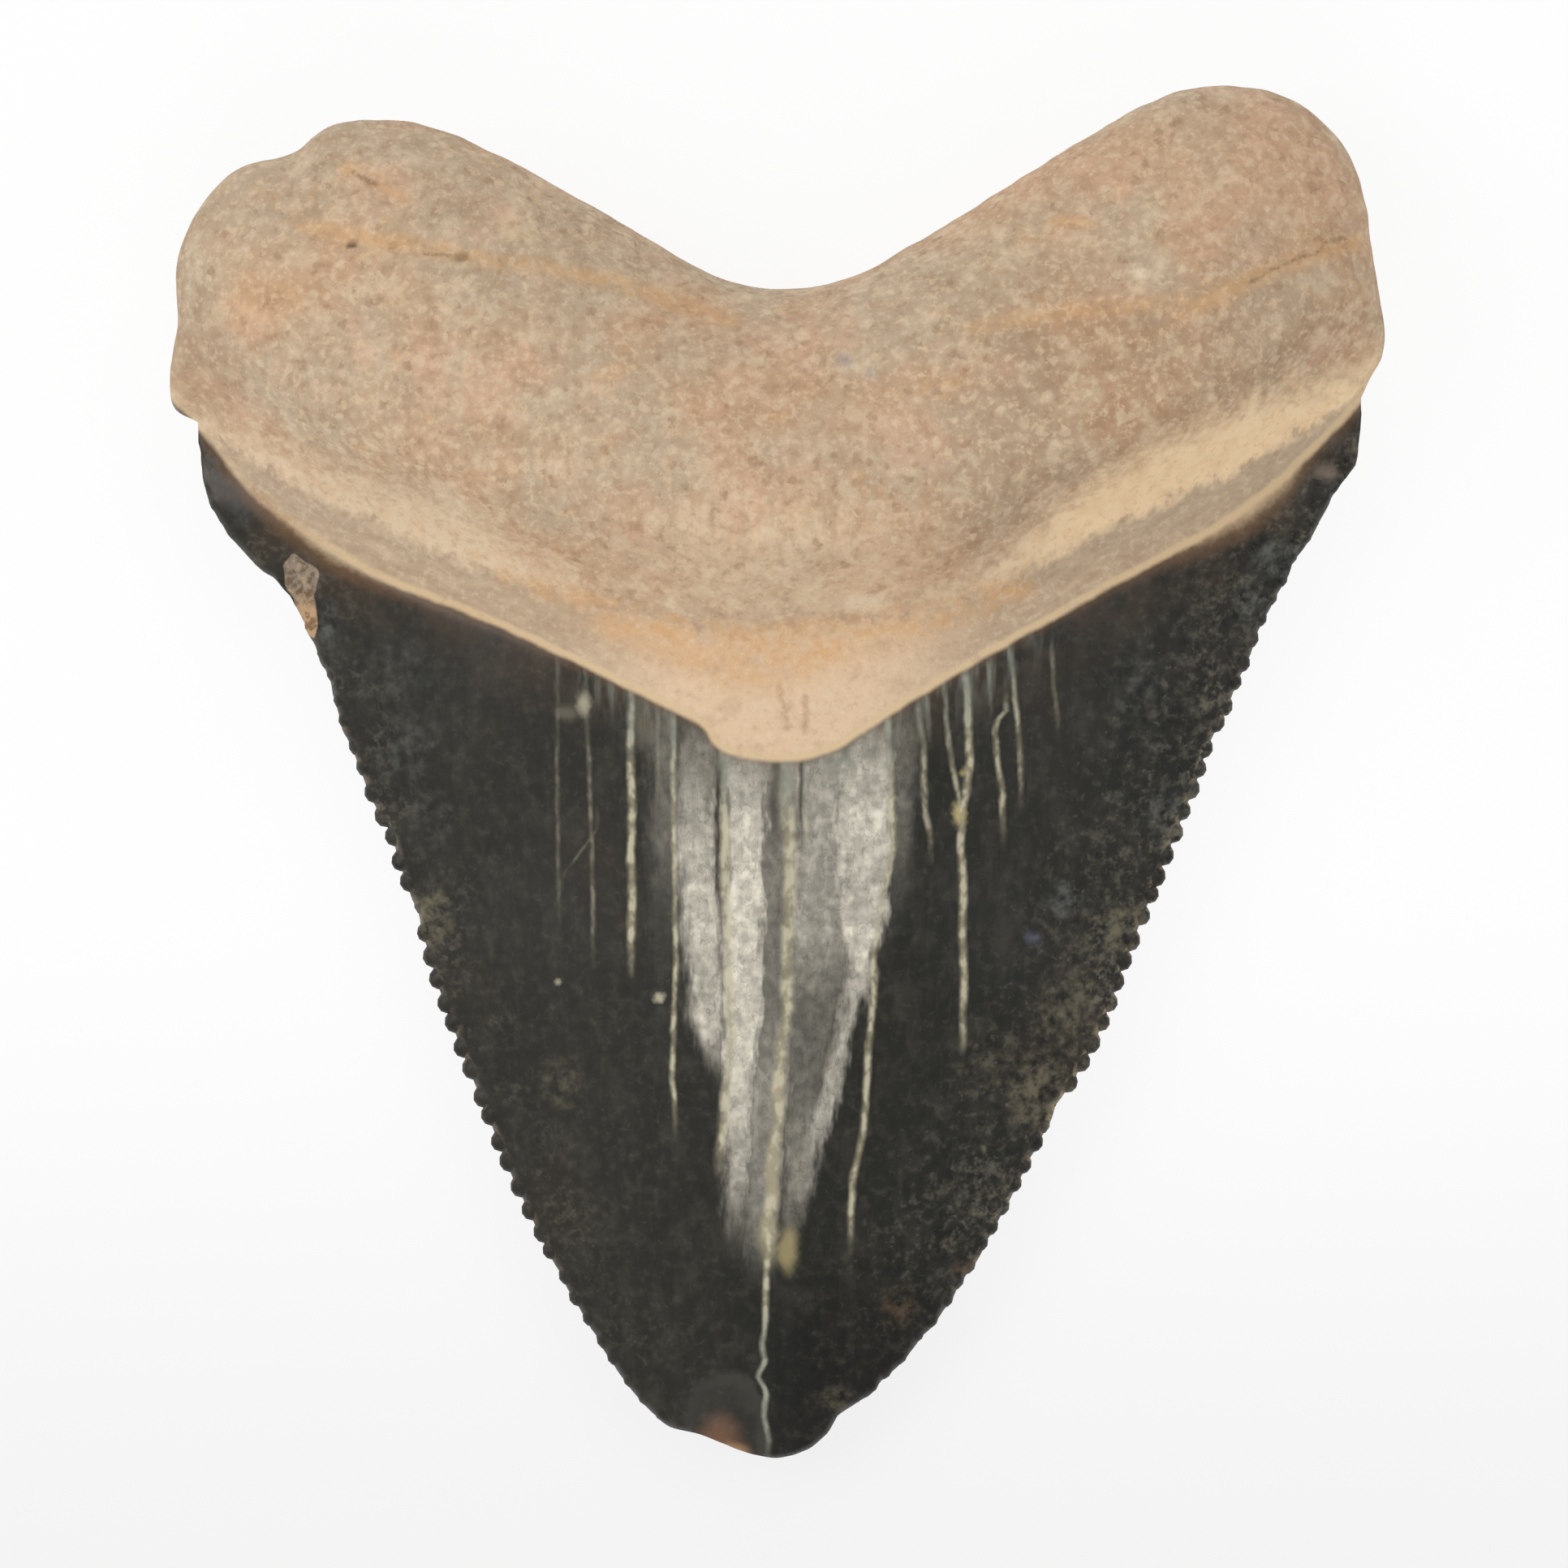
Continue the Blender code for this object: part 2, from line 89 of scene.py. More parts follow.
# How strong the serrations are, from 0 to 1, at places along Y in millimetres
RIGHT_SERRATION = (
    (-22.6, 0.12), (-20.0, 0.3), (-17.2, 0.4), (-14.0, 0.65), (-12.7, 0.6), (-12.2, 0.1),
    (-11.5, 0.1), (-10.9, 0.95), (-3.0, 1.0), (2.0, 0.8), (5.0, 0.5), (7.0, 0.3), (9.0, 0.15),
    (10.5, 0.0),
)
LEFT_SERRATION = (
    (-22.7, 0.2), (-21.0, 0.4), (-18.0, 0.6), (-15.0, 0.95), (-5.9, 1.0), (-5.3, 0.3),
    (-4.5, 0.3), (-4.0, 0.9), (-1.3, 1.0), (-0.3, 0.55), (1.5, 0.35), (3.5, 0.25), (5.5, 0.12),
    (7.0, 0.0),
)

# The shoulder's foot and the enamel's upper limit, lingual and labial, in millimetres
SHOULDER_LINE = (
    (-22.0, 13.2), (-20.3, 12.0), (-17.5, 10.3), (-14.0, 8.7), (-9.9, 6.9), (-5.3, 5.7),
    (-1.2, 4.9), (2.9, 5.4), (6.9, 6.2), (11.0, 8.2), (15.3, 10.1), (20.6, 13.3), (22.0, 14.4),
)
ENAMEL_LINE = (
    (-22.0, 14.0), (-20.3, 12.1), (-18.3, 9.7), (-14.5, 7.1), (-9.9, 5.2), (-5.3, 3.0),
    (-2.7, 1.65), (-1.9, 0.8), (0.0, 0.4), (2.0, 0.8), (3.0, 1.4), (6.0, 3.3), (11.5, 6.4),
    (16.5, 9.2), (20.6, 13.1), (22.0, 15.0),
)
LABIAL_LINE = (
    (-22.0, 13.0), (-20.3, 12.1), (-14.0, 10.2), (-6.0, 7.6), (0.0, 6.8), (6.0, 7.9),
    (14.0, 10.9), (20.6, 13.1), (22.0, 14.0),
)
# Flakes lost from the lingual face, in millimetres: centre, radii, depth and softness of the edge
FLAKES = (
    ((-1.75, -23.4), (1.55, 2.5), 0.45, 0.3),
    ((-16.8, 6.9), (0.75, 1.1), 0.35, 0.2),
    ((19.4, 10.6), (0.8, 0.7), 0.25, 0.3),
    ((17.8, 7.7), (0.8, 0.8), 0.25, 0.3),
)
# Furrows and cracks of the root, in millimetres: half width, depth and route
FURROWS = (
    (0.45, 0.14, ((-16.5, 19.1), (-11.1, 18.1), (-5.6, 17.1), (-1.6, 15.8))),
    (0.3, 0.1, ((-15.1, 21.2), (-14.2, 20.7), (-13.0, 20.1))),
    (0.2, 0.16, ((16.4, 17.2), (18.1, 18.0), (20.1, 18.5))),
    (0.3, 0.06, ((6.9, 15.5), (11.0, 16.2), (15.5, 16.4))),
)

# Lengths along Y and X, in millimetres, that the markings' curves run over
MARK_SPAN = (-25.0, 15.0)
# Mineral veins of the crown: half width, strength and route from the root down, in millimetres
VEINS = (
    (0.2, 1.0, ((0.43, 0.66), (0.37, -0.9), (0.49, -3.06), (0.37, -6.49), (0.37, -8.26),
        (0.2, -9.34), (0.06, -11.11), (0.0, -12.77), (-0.14, -13.91), (-0.31, -16.63))),
    (0.1, 0.95, ((-0.25, -16.0), (-0.36, -17.6), (-0.4, -18.6), (-0.43, -19.63), (-0.5, -20.1),
        (-0.4, -20.7), (-0.68, -21.2), (-0.35, -21.8), (-0.45, -22.6), (-0.27, -23.5))),
    (0.1, 0.55, ((1.0, 0.8), (1.0, -2.63))),
    (0.16, 0.85, ((-1.83, 0.8), (-1.8, -3.06), (-1.71, -6.49), (-1.6, -9.34), (-1.77, -11.2),
        (-1.91, -12.77), (-2.03, -13.63))),
    (0.12, 1.0, ((-5.09, 2.94), (-5.11, 0.66), (-5.06, -1.34), (-5.11, -3.06), (-5.06, -4.2),
        (-5.11, -6.49))),
    (0.09, 0.8, ((-3.6, 1.94), (-3.6, -1.34), (-3.57, -4.2), (-3.54, -6.49), (-3.6, -8.77),
        (-3.66, -10.63), (-3.54, -12.2))),
    (0.08, 0.24, ((-7.66, 3.94), (-7.69, -1.34), (-7.63, -4.77))),
    (0.08, 0.34, ((-6.69, 3.8), (-6.63, 1.51), (-6.51, -1.34), (-6.43, -4.2), (-6.46, -6.2))),
    (0.08, 0.4, ((-4.17, 2.43), (-4.14, -0.91))),
    (0.08, 0.5, ((-0.6, 0.8), (-0.6, -1.34))),
    (0.1, 0.65, ((4.94, 2.23), (5.14, 0.94), (5.14, -0.26), (5.2, -1.2), (5.4, -2.49))),
    (0.09, 0.5, ((5.2, 2.94), (5.31, 1.6))),
    (0.09, 0.65, ((5.83, 3.23), (5.94, 1.89), (6.06, 0.8), (6.26, -0.26), (6.49, -1.34))),
    (0.12, 1.0, ((6.54, 3.66), (6.71, 2.51), (6.71, 1.51), (6.77, 0.37), (6.69, -0.26),
        (6.54, -1.2), (6.43, -2.4), (6.54, -4.2), (6.51, -5.63), (6.57, -7.06), (6.54, -9.2))),
    (0.08, 0.45, ((7.37, 3.94), (7.49, 2.31))),
    (0.1, 0.7, ((8.03, 2.2), (7.74, 1.94), (7.63, 1.51), (7.71, 0.46), (7.91, -0.63),
        (7.94, -2.06))),
    (0.09, 0.65, ((8.09, 4.51), (8.29, 3.31), (8.4, 2.23), (8.49, 1.17), (8.57, 0.09),
        (8.54, -0.63))),
    (0.08, 0.4, ((9.63, 4.23), (9.71, 2.94), (9.86, 1.8))),
    (0.11, 0.85, ((3.89, 1.8), (3.97, -0.2), (4.09, -2.49), (3.63, -4.77), (3.37, -6.49),
        (3.4, -7.54), (3.23, -9.69), (3.11, -11.49), (2.97, -12.91), (2.71, -13.97),
        (2.63, -14.91), (2.6, -16.2))),
    (0.07, 0.22, ((-6.26, -1.91), (-7.57, -3.69))),
)

# Pale patches of the crown, in millimetres: left edge, right edge, strength down the length and
# softness of the two edges
PATCHES = (
    (
        ((-3.54, 0.94), (-3.63, -0.77), (-3.51, -3.06), (-3.4, -5.63), (-3.17, -7.06),
            (-3.11, -8.49), (-2.71, -9.63), (-2.2, -10.77)),
        ((-2.14, 0.94), (-2.14, -2.77), (-1.97, -4.2), (-1.89, -7.06), (-1.8, -10.77)),
        ((0.3, 1.8), (0.44, 0.94), (0.52, 0.09), (0.6, -0.77), (0.68, -1.91), (0.74, -3.06),
            (0.78, -4.2), (0.8, -5.63), (0.72, -7.06), (0.75, -8.49), (0.58, -9.63),
            (0.35, -10.49), (0.0, -11.2)),
        (0.45, 0.3),
    ),
    (
        ((-1.83, 0.94), (-1.83, -4.2), (-1.94, -5.63), (-1.97, -9.91), (-1.89, -11.34),
            (-1.83, -15.63)),
        ((-0.31, 0.94), (-0.31, -3.06), (-0.43, -5.63), (-0.46, -8.49), (-0.54, -9.91),
            (-0.77, -11.34), (-0.83, -12.77), (-0.94, -15.63)),
        ((0.6, 0.37), (0.74, -0.77), (0.84, -1.91), (0.86, -3.06), (0.86, -4.2), (0.84, -5.63),
            (0.87, -8.49), (0.85, -9.91), (0.77, -11.34), (0.74, -12.77), (0.6, -14.2),
            (0.45, -15.34), (0.3, -16.06), (0.12, -16.77), (0.0, -17.49)),
        (0.3, 0.3),
    ),
    (
        ((-0.54, 0.94), (-0.7, -8.5), (-1.0, -11.3), (-1.2, -16.49)),
        ((0.8, 0.94), (0.8, -7.06), (0.66, -9.91), (0.31, -12.77), (0.14, -16.49)),
        ((0.56, 0.37), (0.5, -0.77), (0.42, -1.91), (0.46, -3.06), (0.42, -4.2), (0.42, -7.06),
            (0.42, -8.49), (0.48, -9.91), (0.54, -11.34), (0.52, -12.77), (0.49, -14.2),
            (0.42, -15.63), (0.2, -17.34), (0.0, -18.49)),
        (0.3, 0.3),
    ),
    (
        ((0.51, 0.94), (0.09, -16.49)),
        ((2.37, 0.94), (2.51, -7.06), (2.14, -8.49), (1.86, -9.91), (1.51, -11.34),
            (1.23, -12.77), (1.0, -14.2), (0.66, -16.49)),
        ((0.55, 0.37), (0.63, -0.77), (0.63, -3.06), (0.6, -5.63), (0.53, -6.49), (0.47, -7.06),
            (0.39, -8.49), (0.37, -9.91), (0.4, -11.34), (0.47, -12.77), (0.43, -14.2),
            (0.32, -15.63), (0.0, -16.49)),
        (0.4, 0.3),
    ),
    (
        ((2.5, 1.51), (1.9, 0.09), (1.75, -1.91), (1.9, -4.2), (2.1, -5.63), (2.35, -7.06),
            (2.05, -8.49), (1.7, -9.91), (1.3, -11.34), (0.7, -12.77), (0.2, -14.2),
            (0.14, -16.49)),
        ((4.03, 1.51), (4.17, 0.09), (4.17, -1.91), (4.14, -3.06), (3.97, -4.2), (3.66, -5.63),
            (3.34, -7.06), (2.89, -8.49), (2.46, -9.91), (2.2, -11.34), (1.69, -12.77),
            (1.34, -14.2), (0.77, -16.49)),
        ((0.3, 2.09), (0.6, 0.94), (0.72, 0.09), (0.76, -0.77), (0.83, -1.91), (0.77, -3.06),
            (0.77, -4.2), (0.84, -5.63), (0.78, -7.06), (0.7, -8.49), (0.67, -9.91),
            (0.7, -11.34), (0.61, -12.77), (0.53, -14.2), (0.36, -15.34), (0.22, -16.06),
            (0.1, -16.77), (0.0, -17.49)),
        (0.55, 0.3),
    ),
    (
        ((-4.49, 2.09), (-4.49, -9.91)),
        ((-3.29, 2.09), (-3.29, -9.91)),
        ((0.3, 2.09), (0.36, 0.09), (0.35, -2.2), (0.32, -3.06), (0.24, -4.2), (0.12, -7.06),
            (0.0, -9.91)),
        (0.5, 0.5),
    ),
    (
        ((3.86, 2.09), (3.86, -4.2), (3.23, -7.06)),
        ((4.94, 2.09), (4.89, -1.91), (4.6, -4.2), (3.8, -7.06)),
        ((0.3, 2.09), (0.37, 0.09), (0.36, -1.91), (0.3, -3.06), (0.2, -4.77), (0.0, -7.06)),
        (0.4, 0.5),
    ),
)

# Soft stains, in millimetres: centre, radii, strength and colour. The big pinkish spot on the
# root's lower middle slope is partly painted light.
CROWN_SPOTS = (
    ((-6.75, 2.4), (0.24, 0.55), 0.6, "vein_cream"),
    ((-7.35, 2.15), (0.5, 0.32), 0.16, "vein_cream"),
    ((0.4, -16.75), (0.42, 1.0), 0.5, "vein_yellow"),
    ((-0.3, -16.2), (0.4, 1.3), 0.3, "vein_yellow"),
    ((0.05, -11.1), (0.2, 0.4), 0.7, "ochre"),
    ((-0.2, -14.2), (0.3, 1.6), 0.4, "vein_yellow"),
    ((6.43, -1.43), (0.24, 0.5), 0.8, "vein_yellow"),
    ((6.63, 0.05), (0.2, 0.2), 0.6, "vein_yellow"),
    ((-4.14, -7.83), (0.2, 0.2), 0.8, "vein_cream"),
    ((-7.63, -7.23), (0.12, 0.12), 0.7, "vein_cream"),
    ((-4.7, 1.6), (0.4, 0.9), 0.12, "vein_cream"),
    ((-13.06, 0.94), (1.3, 1.5), 0.4, "slate"),
    ((-13.2, 3.6), (1.2, 1.4), 0.25, "slate"),
    ((-12.2, -1.8), (1.0, 1.4), 0.25, "slate"),
    ((10.2, -4.5), (0.75, 0.8), 1.0, "slate"),
    ((13.6, -1.34), (0.8, 0.8), 0.85, "slate"),
    ((17.5, 7.6), (1.0, 0.9), 0.9, "slate"),
    ((16.6, 6.0), (0.7, 0.8), 0.7, "slate"),
    ((12.6, 3.0), (1.2, 1.8), 0.3, "slate"),
    ((9.0, -5.75), (0.34, 0.2), 0.3, "blue_grey"),
    ((12.1, -5.4), (0.9, 1.1), 0.85, "olive"),
    ((10.4, -8.3), (1.6, 1.7), 0.45, "olive"),
    ((9.3, -11.2), (1.5, 1.6), 0.75, "olive"),
    ((7.4, -10.2), (1.4, 1.4), 0.25, "olive"),
    ((-12.1, -4.9), (0.8, 1.2), 0.85, "olive"),
    ((-7.6, -10.9), (1.0, 1.1), 0.35, "olive"),
    ((4.25, -18.8), (0.8, 0.9), 0.4, "fringe_brown"),
    ((6.6, -17.4), (0.5, 0.5), 0.5, "fringe_brown"),
    ((-15.75, 5.2), (0.4, 1.0), 0.9, "slate"),
    ((19.3, 10.6), (0.5, 0.32), 0.4, "foot_grey_and_shade"),
    ((-19.8, 10.9), (0.45, 0.7), 0.9, "slate"),
    ((-18.9, 9.0), (0.6, 0.6), 0.5, "slate"),
    ((-2.0, -23.7), (0.95, 1.3), 0.42, "rust"),
    ((-1.6, -23.9), (0.7, 0.4), 0.35, "ochre"),
    ((2.2, -22.1), (0.9, 0.6), 0.4, "olive"),
)
ROOT_SPOTS = (
    ((-14.8, 18.46), (0.24, 0.18), 0.85, "enamel_brown"),
    ((-10.97, 18.0), (0.4, 0.2), 0.6, "enamel_brown"),
    ((-14.2, 20.7), (0.4, 0.22), 0.6, "root_brown"),
    ((-17.6, 15.3), (0.35, 0.25), 0.6, "rust"),
    ((-19.3, 11.3), (0.2, 0.16), 0.5, "enamel_brown"),
    ((12.66, 17.4), (0.4, 0.24), 0.9, "root_cream"),
    ((2.4, 14.4), (0.3, 0.3), 0.3, "blue_grey"),
    ((3.3, 13.9), (0.26, 0.26), 0.25, "blue_grey"),
    ((3.0, 5.95), (1.1, 0.45), 0.6, "root_cream"),
    ((20.0, 12.9), (0.6, 0.4), 0.8, "root_cream"),
    ((10.3, 19.2), (1.0, 0.35), 0.6, "ochre"),
    ((-18.0, 16.5), (2.0, 1.6), 0.15, "ochre"),
    # Paler pink on the root's lower middle slope: partly its own pink, partly painted light where
    # the slope turns from the lamps.
    ((0.5, 7.3), (6.5, 2.6), 0.55, "trough_pink"),
    ((-20.0, 14.2), (1.9, 2.4), 0.36, "root_brown"),
    ((16.5, 20.5), (4.0, 3.0), 0.14, "root_pink"),
)
SPOTS = CROWN_SPOTS + ROOT_SPOTS
# Thin streaks on the root and the band: half width, strength, colour and route, in millimetres
STREAKS = (
    (0.5, 0.5, "ochre", ((-16.5, 19.1), (-11.1, 18.1), (-5.6, 17.1), (-1.6, 15.8))),
    (0.4, 0.5, "ochre", ((-15.1, 21.2), (-14.2, 20.8), (-13.0, 20.1))),
    (0.6, 0.5, "ochre", ((14.0, 15.9), (16.0, 17.0), (18.1, 17.9), (20.3, 18.6))),
    (0.65, 1.0, "ochre", ((2.0, 4.55), (4.0, 5.0), (6.2, 5.55), (8.6, 6.5))),
    (0.6, 0.9, "ochre", ((-9.6, 6.9), (-7.3, 6.0), (-5.2, 5.15), (-3.2, 4.55))),
    (0.6, 0.35, "ochre", ((6.9, 15.5), (11.0, 16.2), (15.5, 16.4))),
    (0.3, 0.5, "rust", ((-18.4, 9.95), (-17.7, 9.3), (-17.0, 8.65))),
    (0.18, 0.45, "rust", ((0.05, 3.05), (0.4, 1.65))),
    (0.18, 0.45, "rust", ((1.05, 2.65), (1.03, 1.45))),
    (0.2, 0.5, "trough_grey", ((-5.5, 5.8), (-3.3, 5.2))),
)
CROWN_STAINS = ("foot_grey_and_shade", "blue_grey", "rust", "ochre", "vein_cream", "vein_yellow")
CLOUDY_STAINS = ("olive", "fringe_brown", "slate")
ROOT_STAINS = ("blue_grey", "enamel_brown", "root_brown", "root_cream")
ROOT_TINTS = ("root_pink", "trough_pink")
BAND_STAINS = ("rust", "trough_grey")
# Dark hairline cracks of the root, in millimetres
CRACKS = (
    ((-12.3, 18.15), (-11.4, 18.0)),
    ((-14.8, 21.0), (-14.3, 20.7), (-13.9, 20.5)),
    ((16.4, 17.15), (17.2, 17.5), (18.2, 18.0), (18.9, 18.25)),
    ((19.2, 18.5), (19.9, 18.75)),
)
# Dark slits between the pale patches: half width, strength and route, in millimetres
SLITS = (
    (0.12, 0.8, ((0.87, 0.8), (0.87, -2.3))),
    (0.2, 0.6, ((0.05, 0.8), (-0.12, -0.7), (-0.05, -2.0))),
)
# Bare dentine where a flake is lost at the left shoulder, in millimetres
CHIP = (
    (-17.34, 7.31), (-17.06, 7.77), (-16.09, 7.06), (-16.3, 6.26), (-16.25, 5.9), (-16.15, 5.2),
    (-16.25, 4.8), (-16.45, 4.8), (-16.85, 5.6), (-17.1, 6.2), (-17.3, 6.74),
)
# Widths along X, in millimetres: the cream band above the shoulder's foot, the ochre zone
# under it and the brown fringe of the enamel
CREAM_BAND = (
    (-20.6, 0.3), (-17.5, 0.6), (-16.0, 0.8), (-12.6, 1.2), (-10.6, 1.7), (-8.9, 0.85),
    (-7.7, 0.5), (-6.8, 0.1), (-3.0, 0.0), (4.0, 0.0), (7.0, 0.4), (9.2, 1.1), (12.7, 1.8),
    (15.5, 1.8), (17.8, 1.35), (19.5, 0.8), (20.8, 0.35),
)
OCHRE_BAND = (
    (-8.8, 0.0), (-7.5, 0.5), (-6.6, 0.9), (-4.0, 1.4), (-1.6, 2.1), (0.0, 2.0), (2.0, 1.6),
    (4.1, 1.2), (6.8, 0.7), (8.2, 0.4), (9.4, 0.0),
)
FRINGE = (
    (-20.6, 0.4), (-18.0, 0.7), (-15.8, 0.9), (-14.2, 0.7), (-11.0, 0.45), (0.0, 0.3),
    (10.0, 0.35), (13.0, 0.5), (16.6, 1.0), (18.0, 0.95), (19.0, 0.5),
)

# Spacing of the surface's points
RIM_STEP = 0.18 * MM
RING_UNIT = 0.006 * MM
RING_COUNT = 8
LINGUAL_STEP = 0.18 * MM
LABIAL_STEP = 0.27 * MM
LINE_STEP = 0.2 * MM
# Where the cutting edges start to rise, over what length they do and how late
EDGE_START = -24.0
EDGE_LENGTH = 36.0
EDGE_POWER = 1.3
# Waves of the cutting edges: height everywhere, height added where they are smooth, and size
EDGE_WAVES = (0.03, 0.09, 0.9)
# How the crown's rise grows with its width, and how full the faces are towards the rim
CROWN_POWER = 0.95
LINGUAL_FULLNESS = 2.1
LABIAL_FULLNESS = 2.3
EDGE_FULLNESS = 2.0
# Half width of the root, height and size of its swells, and where its back falls and how far
ROOT_HALF = 21.0
ROOT_SWELLS = (0.22, 6.5)
BACK_START = 7.5
BACK_LENGTH = 10.0
# Labial face: its lowest place, radii and rise, and its groove's place, half width and depth
BOWL_MIDDLE = (0.0, 5.5)
BOWL_RADII = (13.0, 16.0)
BOWL_RISE = 0.5
GROOVE = (0.4, 0.8, 0.15)
# Width of the labial dental band, and how the enamel's streaks are drawn out and how high they are
LABIAL_BAND = 1.2
STREAK_SHAPE = (1.0, 0.12, 1.0)
STREAK_HEIGHT = 0.008
SHARP_ANGLE = math.radians(55.0)
# Sizes that the beads' nodes take, the fineness of their balls and the weakest bead that is set
BEAD_SIZES = ("Pitch", "Reach", "Half Length", "Half Thickness", "Proud", "Lean", "Uneven")
BEAD_SEGMENTS = 14
BEAD_RINGS = 9
WEAKEST_BEAD = 0.08
# Turns Object coordinates into millimetres, for marks that are a little longer upwards
OBJECT_TO_MARKS = (1000.0, 1000.0, 850.0)

# Point of the floor in the picture's middle and the height that the frame width is measured at,
# about that of the cutting edges, in millimetres
PICTURE_MIDDLE = (0.257, -0.371)
EDGE_LEVEL = 3.0
SENSOR_WIDTH = 36.0
FRONT_GLOW = (0.885, 0.885, 0.885)
BACK_GLOW = (0.985, 0.985, 0.985)
# Soft lights: name, turn in degrees, share of the power and whether they show in the gloss
LIGHTS = (
    ("light_left", 165.0, 1.6, True),
    ("light_back", 80.0, 0.8, True),
    ("light_right", 0.0, 0.5, True),
    ("light_front", -95.0, 1.3, False),
)


def srgb(red, green, blue):
    """A colour given in 8-bit display values, as linear light."""
    def linear(value):
        share = value / 255.0
        return share / 12.92 if share <= 0.04045 else ((share + 0.055) / 1.055) ** 2.4

    return (linear(red), linear(green), linear(blue))


def length(name, description, millimetres):
    """A length setting, given in millimetres."""
    return FloatProperty(
        name=name, description=description, default=millimetres * MM, unit="LENGTH", precision=5
    )


def colour(name, description, red, green, blue):
    """A colour setting, given in 8-bit display values."""
    return FloatVectorProperty(
        name=name, description=description, default=srgb(red, green, blue), size=3,
        min=0.0, max=1.0, subtype="COLOR",
    )


class ToothSizes(bpy.types.PropertyGroup):
    root_top: length("Root height", "Highest point of the root above the surface", 11.3)
    root_lobe_drop: length("Lobe drop", "How much lower the root's lobes are than its middle", 2.6)
    root_back_drop: length("Back drop", "How much the root falls towards its notch", 0.8)
    root_rim_height: length("Root rim height", "Height of the line round the root's side", 4.5)
    root_rim_reach: length("Root rounding", "Reach of the rounding of the root's upper side", 7.0)
    root_under_reach: length("Underside rounding", "Reach of the rounding of its underside", 4.5)
    crown_rise: length("Crown rise", "Rise of the crown's lingual face over its edges", 4.9)
    crown_width: length("Crown width", "Width of the crown that has the full rise", 28.0)
    edge_at_tip: length("Edge height at tip", "Height of the cutting edges at the tip", 1.9)
    edge_at_root: length("Edge height at root", "Height of the cutting edges at the root", 3.2)
    edge_half: length("Edge half thickness", "Half the thickness of the cutting edges", 0.2)
    edge_round: length("Edge rounding", "Reach of the rounding of the cutting edges", 0.35)
    shoulder_width: length("Shoulder width", "Width of the slope above the dental band", 3.4)
    trough_depth: length("Trough depth", "Depth of the trough of the dental band", 0.35)
    trough_width: length("Trough width", "Half width of the trough of the dental band", 0.7)
    enamel_step: length("Enamel step", "How far the enamel stands over the dental band", 0.07)
    grain: length("Root grain", "Height of the root's fine grain", 0.03)


class BeadSizes(bpy.types.PropertyGroup):
    pitch_left: length("Left pitch", "Spacing of the serrations on the left edge", 0.86)
    pitch_right: length("Right pitch", "Spacing of the serrations on the right edge", 0.8)
    valley: length("Valley depth", "How far the valleys lie inside the smooth edge", 0.12)
    proud: length("Height", "How far a bead stands out of the valleys", 0.22)
    reach: length("Reach", "How far a bead reaches in and out from its centre", 0.56)
    half_length: length("Half length", "Half the length of a bead along the edge", 0.5)
    half_thickness: length("Half thickness", "Half the thickness of a bead", 0.31)
    lift: length("Lift", "How far the beads' middles lie over the edge", 0.03)
    lean: FloatProperty(
        name="Lean", description="How much the beads lean towards the tip", default=0.45, min=0.0,
    )
    uneven: FloatProperty(
        name="Unevenness", description="Share by which the beads' sizes and places vary",
        default=0.14, min=0.0, max=0.5, subtype="FACTOR",
    )
    seed: IntProperty(name="Seed", description="Start of the random sizes and places", default=5)


